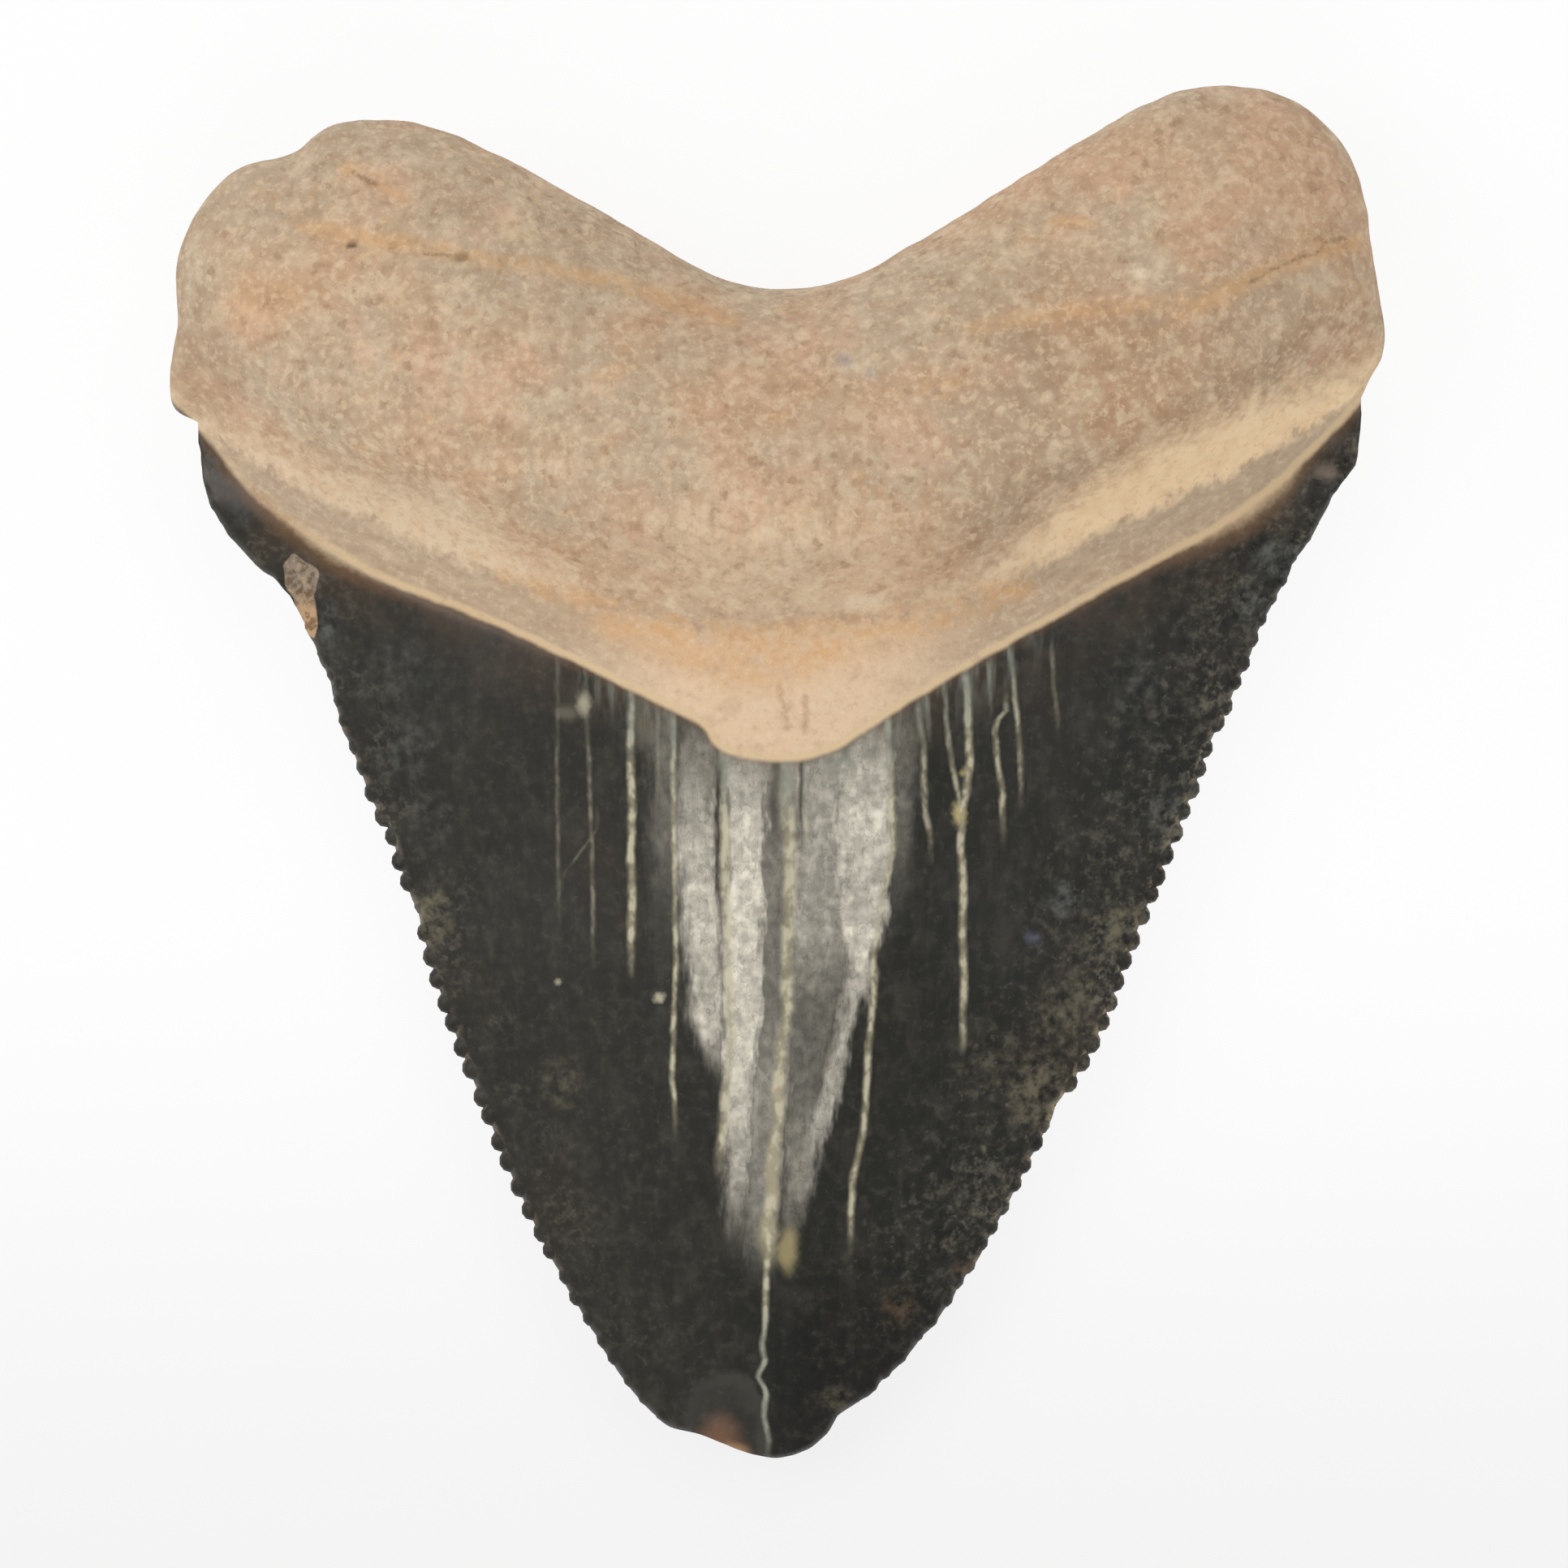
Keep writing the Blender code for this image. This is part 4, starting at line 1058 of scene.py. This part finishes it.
def store(mesh, readings):
    """Keeps readings as attributes of the mesh's points."""
    for name, values in readings.items():
        made = mesh.attributes.new(name, "FLOAT", "POINT")
        made.data.foreach_set("value", values.astype(np.float32))


def relief(sizes, zones, corners):
    """Height of the fine relief over the smooth skin, in metres."""
    flat = corners[:, :2]
    enamelled = smoothstep(0.1, -0.1, zones.enamel)
    rooted = smoothstep(-0.4, 0.5, zones.shoulder)
    lumps = 1.2 * rough(corners, 2.4 * MM, 2, 3.0)
    grains = rough(corners, 0.55 * MM, 3, 7.0)
    height = sizes.grain * (grains + lumps) * (0.25 + 0.75 * rooted) * (1.0 - enamelled)
    streaks = rough(corners * np.array(STREAK_SHAPE), 0.7 * MM, 2, 5.0)
    height += enamelled * (sizes.enamel_step + STREAK_HEIGHT * MM * streaks)
    for half, deep, route in FURROWS:
        away = distance(flat, smooth_curve(route)) / MM
        uneven = 0.65 + 0.5 * rough(flat, 0.8 * MM, 2, 9.0)
        height -= deep * MM * uneven * np.exp(-((away / half) ** 2)) * zones.lingual
    return height * smoothstep(0.0, 0.25, zones.rim + 0.08 * rooted)


def coordinates(mesh, what="co"):
    """The places or normals of a mesh's points, a row for each."""
    values = np.empty(len(mesh.vertices) * 3)
    mesh.vertices.foreach_get(what, values)
    return values.reshape(-1, 3)


class Brush(Nodes):
    """Adds and links a material's nodes."""

    def roughened(self, value, noise, amount):
        """A value shifted both ways by noise, for uneven edges."""
        return self.linear(self.add(noise, -0.5), amount, value)

    def parts(self, vector):
        return self.node("ShaderNodeSeparateXYZ", {0: vector}).outputs

    def step(self, low, high, value, most=1.0):
        """0 where the value is low, rising smoothly to most where it is high. Low may be larger."""
        inputs = {"Value": value, "From Min": low, "From Max": high, "To Max": most}
        made = self.node("ShaderNodeMapRange", inputs, interpolation_type="SMOOTHSTEP")
        return made.outputs["Result"]

    def window(self, value, low, high, soft, most=1.0):
        """Most between low and high, fading over the soft length inside them."""
        return self.times(
            self.step(low, low + soft, value), self.step(high, high - soft, value, most)
        )

    def mix(self, share, under, over):
        return self.node(
            "ShaderNodeMix", {0: share, 6: under, 7: over}, data_type="RGBA"
        ).outputs[2]

    def noise(self, at, size, detail=2.0, roughness=0.5, stretch=(1.0, 1.0, 1.0), shift=0.0):
        """Noise from 0 to 1 whose lumps are about size millimetres, longer where stretched."""
        inputs = {
            "Vector": at,
            "Scale": tuple(1.0 / (size * longer) for longer in stretch),
            "Location": (shift, 1.7 * shift, 0.6 * shift),
        }
        mapped = self.node("ShaderNodeMapping", inputs, vector_type="POINT").outputs[0]
        inputs = {"Vector": mapped, "Scale": 1.0, "Detail": detail, "Roughness": roughness}
        return self.node("ShaderNodeTexNoise", inputs, noise_dimensions="3D").outputs["Fac"]

    def dots(self, at, size):
        """Distance from the middle of the nearest of many scattered dots, and its random share."""
        inputs = {"Vector": at, "Scale": 1.0 / size}
        made = self.node("ShaderNodeTexVoronoi", inputs, voronoi_dimensions="3D", feature="F1")
        return made.outputs["Distance"], self.parts(made.outputs["Color"])[0]

    def attribute(self, name):
        return self.node("ShaderNodeAttribute", attribute_name=name).outputs["Fac"]

    def curve(self, share, marks, straight=False):
        """A value from 0 to 1 read off a curve through (place, value) marks from 0 to 1."""
        made = self.node("ShaderNodeFloatCurve", {"Value": share})
        points = made.mapping.curves[0].points
        for number, mark in enumerate(sorted(marks)):
            point = points[number] if number < 2 else points.new(*mark)
            point.location = mark
            point.handle_type = "VECTOR" if straight else "AUTO"
        made.mapping.extend = "HORIZONTAL"
        made.mapping.update()
        return made.outputs[0]

    def bump(self, height, distance, strength):
        inputs = {"Strength": strength, "Distance": distance, "Height": height}
        return self.node("ShaderNodeBump", inputs).outputs[0]


class Surface:
    """Readings that the finishes of the tooth share, in millimetres."""

    def __init__(self, brush, colours):
        self.brush = brush
        self.colours = colours
        place = brush.node("ShaderNodeTexCoord").outputs["Object"]
        self.at = brush.vector("MULTIPLY", place, OBJECT_TO_MARKS)
        self.x, self.y = brush.parts(self.at)[:2]
        wave = brush.noise(self.at, 1.1, 2.0, 0.6, shift=9.0)
        self.enamel = brush.roughened(brush.attribute("enamel"), wave, 0.16)
        self.shoulder = brush.roughened(brush.attribute("shoulder"), wave, 0.5)
        self.rim = brush.attribute("rim")
        self.lingual = brush.attribute("lingual")
        self.chip = brush.step(-0.04, 0.04, brush.attribute("chip"))
        self.speck = brush.noise(self.at, 0.3, 2.0, 0.65, shift=19.0)
        wiggle = brush.noise(self.at, 0.8, 2.0, 0.6, shift=37.0)
        self.down = self.share_of_span(self.y)
        self.across = self.share_of_span(brush.roughened(self.x, wiggle, 0.14))

    def share_of_span(self, value):
        low, high = MARK_SPAN
        return self.brush.math("DIVIDE", self.brush.add(value, -low), high - low)

    def route(self, places):
        """Where a line through the places lies across, read at the height down the crown."""
        low, high = MARK_SPAN
        marks = [((y - low) / (high - low), (x - low) / (high - low)) for x, y in places]
        return self.brush.curve(self.down, marks, straight=True)

    def stained(self, under, names, cloud=1.0):
        for name in names:
            share = self.brush.times(self.brush.attribute("stain_" + name), cloud)
            under = self.brush.mix(share, under, getattr(self.colours, name))
        return under

    def layers(self, under, *rows):
        """Colours laid over one another. Each row is a colour's name, the reading that it
        follows, where that starts and is full, the most that it covers and its limits."""
        for name, reading, low, high, most, *limits in rows:
            share = self.brush.times(self.brush.step(low, high, reading, most), *limits)
            under = self.brush.mix(share, under, getattr(self.colours, name))
        return under


def root_paint(surface):
    """Granular tan root with cream and brown flecks, ochre streaks, a browner right side that is
    partly painted shade and a greyer rim that is partly painted shade.
    """
    brush = surface.brush
    at = surface.at
    # Browner towards the right: partly the root's own brown, partly painted shade of the side away
    # from the strongest lamp.
    right_side = brush.window(surface.x, 4.0, 22.0, 5.0, 0.4)
    tone = surface.layers(
        surface.colours.root_grey,
        ("root_tan", brush.noise(at, 6.0, 2.0, 0.55), 0.4, 0.62, 1.0),
        ("root_pink", brush.noise(at, 2.6, 3.0, 0.6, shift=3.0), 0.5, 0.68, 0.5),
        ("ochre", brush.noise(at, 1.6, 3.0, 0.65, shift=13.0), 0.56, 0.72, 0.35),
        ("root_brown", surface.y, 18.5, 15.5, 1.0, right_side),
        # Greyer towards the rim: partly painted shade where the root rounds over.
        ("root_grey", surface.rim, 1.3, 0.0, 0.2),
    )
    mottle = brush.noise(at, 0.9, 2.0, 0.55, shift=11.0)
    slope = brush.window(surface.shoulder, 0.9, 5.5, 1.0)
    upright = brush.noise(at, 0.5, 2.0, 0.55, stretch=(1.0, 4.0, 1.0), shift=15.0)
    grain = brush.noise(at, 0.42, 3.0, 0.6, shift=6.0)
    away, share = brush.dots(at, 0.46)
    dot = brush.step(0.46, 0.16, brush.roughened(away, grain, 1.9))
    tone = surface.layers(
        surface.stained(tone, ROOT_TINTS),
        ("root_cream", mottle, 0.5, 0.68, 0.3),
        ("root_brown", mottle, 0.48, 0.3, 0.3),
        ("root_brown", upright, 0.46, 0.3, 0.3, slope),
        ("root_grey", upright, 0.52, 0.66, 0.4, slope),
        ("root_cream", grain, 0.54, 0.7, 0.36),
        ("root_brown", grain, 0.46, 0.32, 0.36),
        ("root_cream", share, 0.72, 0.95, 0.38, dot),
        ("root_brown", share, 0.28, 0.05, 0.42, dot),
        ("ochre", surface.speck, 0.56, 0.7, 0.35),
        ("ochre", grain, 0.3, 0.6, 1.0, brush.attribute("stain_ochre")),
    )
    crack = brush.roughened(brush.attribute("crack"), surface.speck, 0.9)
    return surface.layers(
        surface.stained(tone, ROOT_STAINS), ("fringe_brown", crack, 0.55, 1.0, 0.6)
    )


def band_paint(surface, root):
    """Cream band on the shoulder, the trough under it and the cream line at the enamel. The band's
    cream is partly painted light that lifts the slope's shade, paler still on the right, and the
    grey at the shoulder's foot is painted shade.
    """
    brush = surface.brush
    colours = surface.colours
    at = surface.at
    speck = surface.speck
    soft = brush.noise(at, 0.8, 3.0, 0.6, shift=21.0)
    ragged = brush.noise(at, 0.4, 2.0, 0.6, stretch=(1.0, 2.5, 1.0), shift=25.0)
    cream = brush.attribute("cream")
    over = brush.math("SUBTRACT", brush.linear(soft, 1.3, surface.shoulder), cream)
    over = brush.linear(ragged, 0.9, over)
    # The cream band: its own cream, made paler as painted light against the slope's shade.
    band = brush.times(
        brush.step(2.05, 0.6, over, 0.95),
        brush.step(0.0, 0.3, cream),
        brush.step(-0.3, 0.0, surface.shoulder),
    )
    tint = surface.layers(
        colours.band_cream,
        ("root_brown", speck, 0.56, 0.3, 0.12),
        # Paler and warmer to the right: its own peach, with painted light against the shade there.
        ("band_peach_and_light", surface.x, 6.0, 11.0, 0.9),
        ("ochre", soft, 0.42, 0.62, 0.22),
    )
    tone = brush.mix(band, root, tint)

    across = brush.math("ABSOLUTE", surface.x)
    along = brush.node(
        "ShaderNodeCombineXYZ", {0: surface.x, 1: brush.times(surface.shoulder, 4.0)}
    )
    streaks = brush.noise(along.outputs[0], 1.2, 3.0, 0.6)
    streaks = brush.times(brush.step(4.5, 9.0, across), streaks)
    mottle = brush.noise(at, 0.8, 3.0, 0.6, shift=2.0)
    lumpy = brush.linear(brush.step(9.0, 4.5, across), mottle, streaks)
    trough = surface.layers(
        colours.trough_grey,
        ("trough_pink", across, 8.0, 3.0, 1.0),
        ("band_cream", lumpy, 0.46, 0.7, 0.3),
        ("root_brown", lumpy, 0.52, 0.3, 0.22),
    )
    notched = brush.roughened(surface.shoulder, ragged, 0.9)
    tone = brush.mix(brush.step(0.35, -0.25, notched), tone, trough)
    # Grey along the shoulder's foot, where its slope meets the trough: painted shade of that
    # crease.
    foot = brush.window(notched, -0.3, 0.35, 0.25)
    ochre = brush.math("MAXIMUM", brush.attribute("ochre"), brush.attribute("stain_ochre"))
    tone = surface.layers(
        tone,
        ("foot_grey_and_shade", soft, 0.5, 0.62, 0.55, foot),
        ("ochre", mottle, 0.2, 0.78, 0.85, ochre),
    )
    limit = brush.window(surface.enamel, -0.14, 0.36, 0.18, 0.9)
    fading = brush.linear(brush.step(-18.0, -14.5, surface.x), 0.7, 0.3)
    tone = surface.layers(
        surface.stained(tone, BAND_STAINS),
        ("root_cream", speck, 0.5, 0.7, 0.3),
        ("root_brown", speck, 0.46, 0.28, 0.2),
        ("limit_cream", mottle, 0.1, 0.5, 1.0, limit, fading),
    )
    bare = surface.layers(
        colours.chip_brown,
        ("root_tan", speck, 0.5, 0.7, 0.5),
        ("ochre", surface.y, 6.8, 5.4, 0.5),
        ("fringe_brown", speck, 0.52, 0.36, 0.7),
    )
    return brush.mix(surface.chip, tone, bare)


def enamel_paint(surface):
    """Charcoal enamel with soft clouds, a brown fringe, pale patches and mineral veins, with
    painted light to the left, painted shade at the tip's right half and a painted highlight near
    the flake's edge.
    """
    brush = surface.brush
    colours = surface.colours
    at = surface.at
    speck = surface.speck
    cloud = brush.noise(at, 4.0, 2.0, 0.5, stretch=(1.0, 2.0, 1.0), shift=1.0)
    mist = brush.noise(at, 1.0, 3.0, 0.6, stretch=(1.0, 1.8, 1.0), shift=5.0)
    streak = brush.noise(at, 0.3, 2.0, 0.6, stretch=(1.0, 12.0, 1.0), shift=7.0)
    smudge = brush.noise(at, 1.8, 3.0, 0.65, shift=17.0)
    crumbs = brush.noise(at, 0.45, 2.0, 0.6, shift=29.0)
    right_edge = brush.times(
        brush.step(6.5, 1.0, surface.rim), brush.step(-9.0, 5.0, surface.x, 0.75)
    )
    rougher = brush.math("MAXIMUM", right_edge, 0.2)
    near = brush.times(
        brush.step(3.2, 0.4, surface.rim),
        brush.step(0.4, 0.62, smudge),
        brush.linear(brush.step(-4.0, 8.0, surface.x), 0.25, 0.3),
        brush.step(-23.0, -17.0, surface.y),
    )
    tone = surface.layers(
        colours.enamel_dark,
        ("enamel_brown", cloud, 0.42, 0.66, 1.0),
        ("enamel_mist", mist, 0.45, 0.7, 0.6),
        ("enamel_mist", streak, 0.5, 0.75, 0.35),
        # Paler towards the left: painted light of the crown's lit left side.
        ("enamel_mist", surface.x, 3.0, -6.0, 0.2),
        ("shoulder_brown", smudge, 0.3, 0.6, 0.75, brush.step(-2.6, -0.2, surface.enamel)),
        ("dust", crumbs, 0.5, 0.72, 0.5, rougher),
        ("enamel_black_and_shade", crumbs, 0.5, 0.3, 0.9, rougher),
        ("dust", speck, 0.6, 0.76, 0.6, rougher),
        ("dust", speck, 0.44, 0.66, 1.0, near),
        # Darkest towards the tip, right of its middle: painted shade where that half faces away
        # from the light.
        ("enamel_black_and_shade", surface.y, -15.0, -21.0, 0.7, brush.step(-3.0, 1.0, surface.x)),
    )
    # The flake's scar, with a painted highlight near its edge.
    scar = brush.times(brush.attribute("scar"), brush.linear(mist, 0.5, 0.6))
    tone = brush.mix(scar, tone, colours.scar)
    tone = surface.stained(tone, CLOUDY_STAINS, brush.step(0.32, 0.74, crumbs))
    tone = vein_paint(surface, patch_paint(surface, surface.stained(tone, CROWN_STAINS)))

    between_beads = brush.times(
        brush.step(0.36, 0.0, surface.rim),
        brush.step(0.65, 0.3, brush.attribute("bead")),
        brush.window(surface.y, -21.0, 7.0, 8.0),
        brush.linear(brush.step(-4.0, 6.0, surface.x), 0.6, 0.4),
    )
    reach = brush.add(brush.attribute("fringe"), surface.enamel)
    reach = brush.roughened(reach, speck, 0.3)
    return surface.layers(
        tone,
        ("grime", speck, 0.4, 0.62, 0.65, between_beads),
        ("fringe_brown", reach, 0.0, 0.6, 0.8),
        ("limit_cream", reach, 0.5, 1.05, 0.75),
    )


def patch_paint(surface, under):
    """Pale patches down the middle, mottled and flecked."""
    brush = surface.brush
    low, high = MARK_SPAN
    span = high - low
    feather = brush.noise(surface.at, 0.3, 2.0, 0.6, stretch=(1.0, 5.0, 1.0), shift=27.0)
    across = brush.roughened(surface.across, feather, 0.9 / span)
    cover = 0.0
    for left, right, strengths, (soft_left, soft_right) in PATCHES:
        from_left = brush.math("SUBTRACT", across, surface.route(left))
        to_right = brush.math("SUBTRACT", surface.route(right), across)
        marks = [((y - low) / span, strength) for strength, y in strengths]
        share = brush.times(
            brush.step(-soft_left / span, soft_left / span, from_left),
            brush.step(-soft_right / span, soft_right / span, to_right),
            brush.curve(surface.down, marks),
        )
        cover = brush.math("MAXIMUM", cover, share)
    shades = brush.noise(surface.at, 0.6, 2.0, 0.6, stretch=(0.7, 1.4, 1.0), shift=23.0)
    lumps = brush.noise(surface.at, 0.38, 2.0, 0.55, shift=33.0)
    seams = brush.step(0.0, 0.025, brush.math("ABSOLUTE", brush.add(shades, -0.5)))
    for reading, factor, least in (
        (shades, 0.6, 0.7), (feather, 0.16, 0.92), (lumps, 0.64, 0.68), (seams, 0.14, 0.87),
    ):
        cover = brush.times(cover, brush.linear(reading, factor, least))
    cover = brush.times(brush.math("POWER", cover, 2.0), surface.lingual)
    return brush.mix(cover, under, surface.colours.patch_white)


def lines(surface, routes, spread):
    """Strength of soft lines along routes that run down the crown."""
    brush = surface.brush
    low, high = MARK_SPAN
    span = high - low
    fade = 0.8 / span
    cover = 0.0
    for half, strength, route in routes:
        top = (route[0][1] - low) / span
        bottom = (route[-1][1] - low) / span
        ends = (
            (bottom - fade, 0.0), (bottom + fade, strength), (top, strength), (top + fade, 0.0),
        )
        away = brush.math("ABSOLUTE", brush.math("SUBTRACT", surface.across, surface.route(route)))
        peak = brush.times(
            brush.step(spread * half / span, 0.0, away),
            brush.curve(surface.down, ends, straight=True),
        )
        cover = brush.math("MAXIMUM", cover, peak)
    return cover


def vein_paint(surface, under):
    """Thin mineral veins that run down from the dental band."""
    brush = surface.brush
    colours = surface.colours
    lingual = surface.lingual
    streak = brush.noise(surface.at, 0.4, 2.0, 0.6, stretch=(1.0, 8.0, 1.0), shift=47.0)
    next_to_band = brush.step(-1.9, 0.0, surface.enamel)
    middle = brush.window(surface.x, -8.5, 10.5, 3.0)
    under = surface.layers(
        under, ("vein_grey", streak, 0.42, 0.7, 0.42, next_to_band, middle, lingual)
    )
    slits = brush.times(lines(surface, SLITS, 1.5), lingual)
    under = brush.mix(slits, under, colours.enamel_brown)
    uneven = brush.noise(surface.at, 0.5, 2.0, 0.6, stretch=(1.0, 1.5, 1.0), shift=41.0)
    cover = brush.times(lines(surface, VEINS, 1.9), brush.linear(uneven, 1.7, 0.1))
    share = brush.times(brush.math("POWER", cover, 1.3), lingual)
    vein = surface.layers(
        colours.vein_olive,
        ("vein_cream", uneven, 0.42, 0.6, 1.0),
        ("vein_grey", surface.enamel, -2.6, -0.6, 0.8),
        ("vein_grey", surface.y, -17.5, -20.5, 0.7),
    )
    return brush.mix(brush.math("MINIMUM", share, 0.88), under, vein)


def shaded(brush, colour, roughness, specular, normal):
    """A Principled surface whose specular level is set on its own socket."""
    inputs = {
        "Base Color": colour, "Roughness": roughness, "Normal": normal,
        "Specular IOR Level": specular,
    }
    return brush.node("ShaderNodeBsdfPrincipled", inputs).outputs[0]


def fossil_material(colours):
    """One procedural finish: the root and its dental band, and the enamel."""
    material = bpy.data.materials.new(MATERIAL)
    material.use_nodes = True
    material.node_tree.nodes.clear()
    brush = Brush(material.node_tree)
    surface = Surface(brush, colours)
    grain = brush.noise(surface.at, 0.22, 3.0, 0.7, shift=61.0)
    root = band_paint(surface, root_paint(surface))
    root = shaded(brush, root, 0.86, 0.3, brush.bump(grain, 0.06 * MM, 0.7))
    scratches = brush.noise(surface.at, 0.12, 2.0, 0.6, stretch=(1.0, 14.0, 1.0), shift=67.0)
    gloss = brush.linear(surface.speck, 0.3, 0.24)
    enamel = enamel_paint(surface)
    enamel = shaded(brush, enamel, gloss, 0.35, brush.bump(scratches, 0.004 * MM, 0.5))
    enamelled = brush.math("SUBTRACT", brush.step(0.1, -0.1, surface.enamel), surface.chip)
    whole = brush.node(
        "ShaderNodeMixShader", {0: brush.math("MAXIMUM", enamelled, 0.0), 1: root, 2: enamel}
    )
    brush.node("ShaderNodeOutputMaterial", {"Surface": whole.outputs[0]})
    return material


class TOOTH_OT_body(bpy.types.Operator):
    """Make the root, the dental band and the crown as one closed skin"""
    bl_idname = "tooth.body"
    bl_label = "Make Body"

    def execute(self, context):
        scene = context.scene
        tooth = Tooth(scene.tooth_sizes, scene.tooth_beads)
        mesh = tooth_body(tooth)
        mesh.materials.append(fossil_material(scene.tooth_colours))
        add_object(PIECE, mesh)
        return {"FINISHED"}


class TOOTH_OT_serrations(bpy.types.Operator):
    """Set the serrations' beads along both cutting edges and join them to the body"""
    bl_idname = "tooth.serrations"
    bl_label = "Make Serrations"

    def execute(self, context):
        scene = context.scene
        beads = scene.tooth_beads
        tooth = Tooth(scene.tooth_sizes, beads)
        body = bpy.data.objects[PIECE]
        tree = bead_tree()
        sides = (
            (tooth.left_valleys, tooth.left_strength, beads.pitch_left, -beads.lean, 0),
            (tooth.right_valleys, tooth.right_strength, beads.pitch_right, beads.lean, 100),
        )
        for turn in (0, 1):
            rows = []
            for points, strength, pitch, lean, seed in sides:
                values = {
                    "Pitch": pitch, "Reach": beads.reach, "Half Length": beads.half_length,
                    "Half Thickness": beads.half_thickness, "Proud": beads.proud, "Lean": lean,
                    "Uneven": beads.uneven, "Turn": turn, "Seed": beads.seed + seed,
                    "Material": body.data.materials[0],
                }
                path = valley_path(tooth, points, strength, beads.lift)
                rows.append(baked_beads(path, tree, values))
            united(body, joined(rows, "beads"))
        return {"FINISHED"}


class TOOTH_OT_surface(bpy.types.Operator):
    """Give the skin its fine relief and the readings that its finish is painted from"""
    bl_idname = "tooth.surface"
    bl_label = "Weather Surface"

    def execute(self, context):
        scene = context.scene
        tooth = Tooth(scene.tooth_sizes, scene.tooth_beads)
        piece = bpy.data.objects[PIECE]
        mesh = piece.data
        corners = coordinates(mesh)
        zones = Zones(tooth, corners)
        raised = relief(scene.tooth_sizes, zones, corners)
        corners = corners + coordinates(mesh, "normal") * raised[:, None]
        corners[:, 2] = np.maximum(corners[:, 2], 0.0)
        mesh.vertices.foreach_set("co", corners.ravel())
        store(mesh, zones.readings(corners))
        mesh.update()
        mesh.shade_smooth()
        mesh.set_sharp_from_angle(angle=SHARP_ANGLE)
        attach(piece, "root")
        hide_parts("tooth")
        return {"FINISHED"}


class TOOTH_OT_studio(bpy.types.Operator):
    """Make the pale floor, the soft lights and the camera that looks straight down"""
    bl_idname = "tooth.studio"
    bl_label = "Make Studio"

    def execute(self, context):
        scene = context.scene
        settings = scene.tooth_studio
        middle = Vector((*PICTURE_MIDDLE, 0.0)) * MM
        make_floor(settings)
        make_lights(scene, settings, middle)
        camera = bpy.data.cameras.new("camera")
        camera.lens = settings.lens
        camera.sensor_width = SENSOR_WIDTH
        camera.clip_end = 10.0
        away = settings.frame_width * settings.lens / SENSOR_WIDTH
        holder = add_object("camera", camera)
        holder.location = middle + Vector((0.0, 0.0, EDGE_LEVEL * MM + away))
        scene.camera = holder
        scene.view_settings.view_transform = "Standard"
        return {"FINISHED"}


def make_floor(settings):
    """A pale floor that glows a little less towards the front, as in the photo."""
    mesh = bpy.data.meshes.new("floor")
    side = 1.5
    low = -0.02 * MM
    corners = [(-side, -side, low), (side, -side, low), (side, side, low), (-side, side, low)]
    mesh.from_pydata(corners, [], [(0, 1, 2, 3)])
    material = bpy.data.materials.new("floor")
    material.use_nodes = True
    brush = Brush(material.node_tree)
    shader = material.node_tree.nodes["Principled BSDF"]
    place = brush.parts(brush.node("ShaderNodeTexCoord").outputs["Object"])
    back = brush.step(-30.0 * MM, -2.0 * MM, place[1])
    for name, value in (
        ("Base Color", settings.floor),
        ("Roughness", 0.9),
        ("Specular IOR Level", 0.1),
        ("Emission Color", brush.mix(back, FRONT_GLOW, BACK_GLOW)),
        ("Emission Strength", 0.9),
    ):
        brush.feed(shader.inputs[name], value)
    mesh.materials.append(material)
    floor = add_object("floor", mesh)


def make_lights(scene, settings, middle):
    """An even sky and the soft lights that stand in a ring round the tooth."""
    world = bpy.data.worlds.new("studio")
    world.use_nodes = True
    back = world.node_tree.nodes["Background"]
    back.inputs["Color"].default_value = (1.0, 1.0, 1.0, 1.0)
    back.inputs["Strength"].default_value = settings.sky
    scene.world = world
    for name, turn, share, glossy in LIGHTS:
        lamp = bpy.data.lights.new(name, "AREA")
        lamp.shape = "SQUARE"
        lamp.size = settings.ring_size
        lamp.energy = settings.ring_power * share
        holder = add_object(name, lamp)
        angle = math.radians(turn)
        rise = settings.ring_height
        flat = math.cos(rise)
        way = Vector((flat * math.cos(angle), flat * math.sin(angle), math.sin(rise)))
        holder.location = middle + way * settings.ring_distance
        holder.rotation_euler = way.to_track_quat("Z", "Y").to_euler()
        holder.visible_glossy = glossy


class TOOTH_PT_panel(bpy.types.Panel):
    """Lists the steps that make the tooth, with their sizes and colours"""
    bl_idname = "TOOTH_PT_panel"
    bl_label = "Tooth"
    bl_space_type = "VIEW_3D"
    bl_region_type = "UI"
    bl_category = "Tooth"

    def draw(self, context):
        scene = context.scene
        for step in ("body", "serrations", "surface", "studio"):
            self.layout.operator("tooth." + step)
        for name in GROUPS:
            box = self.layout.box()
            group = getattr(scene, name)
            for setting in group.__annotations__:
                box.prop(group, setting)


GROUPS = {
    "tooth_sizes": ToothSizes,
    "tooth_beads": BeadSizes,
    "tooth_colours": FossilColours,
    "tooth_studio": StudioSettings,
}
CLASSES = (
    *GROUPS.values(), TOOTH_OT_body, TOOTH_OT_serrations, TOOTH_OT_surface, TOOTH_OT_studio,
    TOOTH_PT_panel,
)


def register():
    for made in CLASSES:
        bpy.utils.register_class(made)
    for name, group in GROUPS.items():
        setattr(bpy.types.Scene, name, PointerProperty(type=group))


def unregister():
    for name in GROUPS:
        delattr(bpy.types.Scene, name)
    for made in reversed(CLASSES):
        bpy.utils.unregister_class(made)


def main():
    register()
    bpy.ops.tooth.body()
    bpy.ops.tooth.serrations()
    bpy.ops.tooth.surface()
    bpy.ops.tooth.studio()


if __name__ == "__main__":
    main()
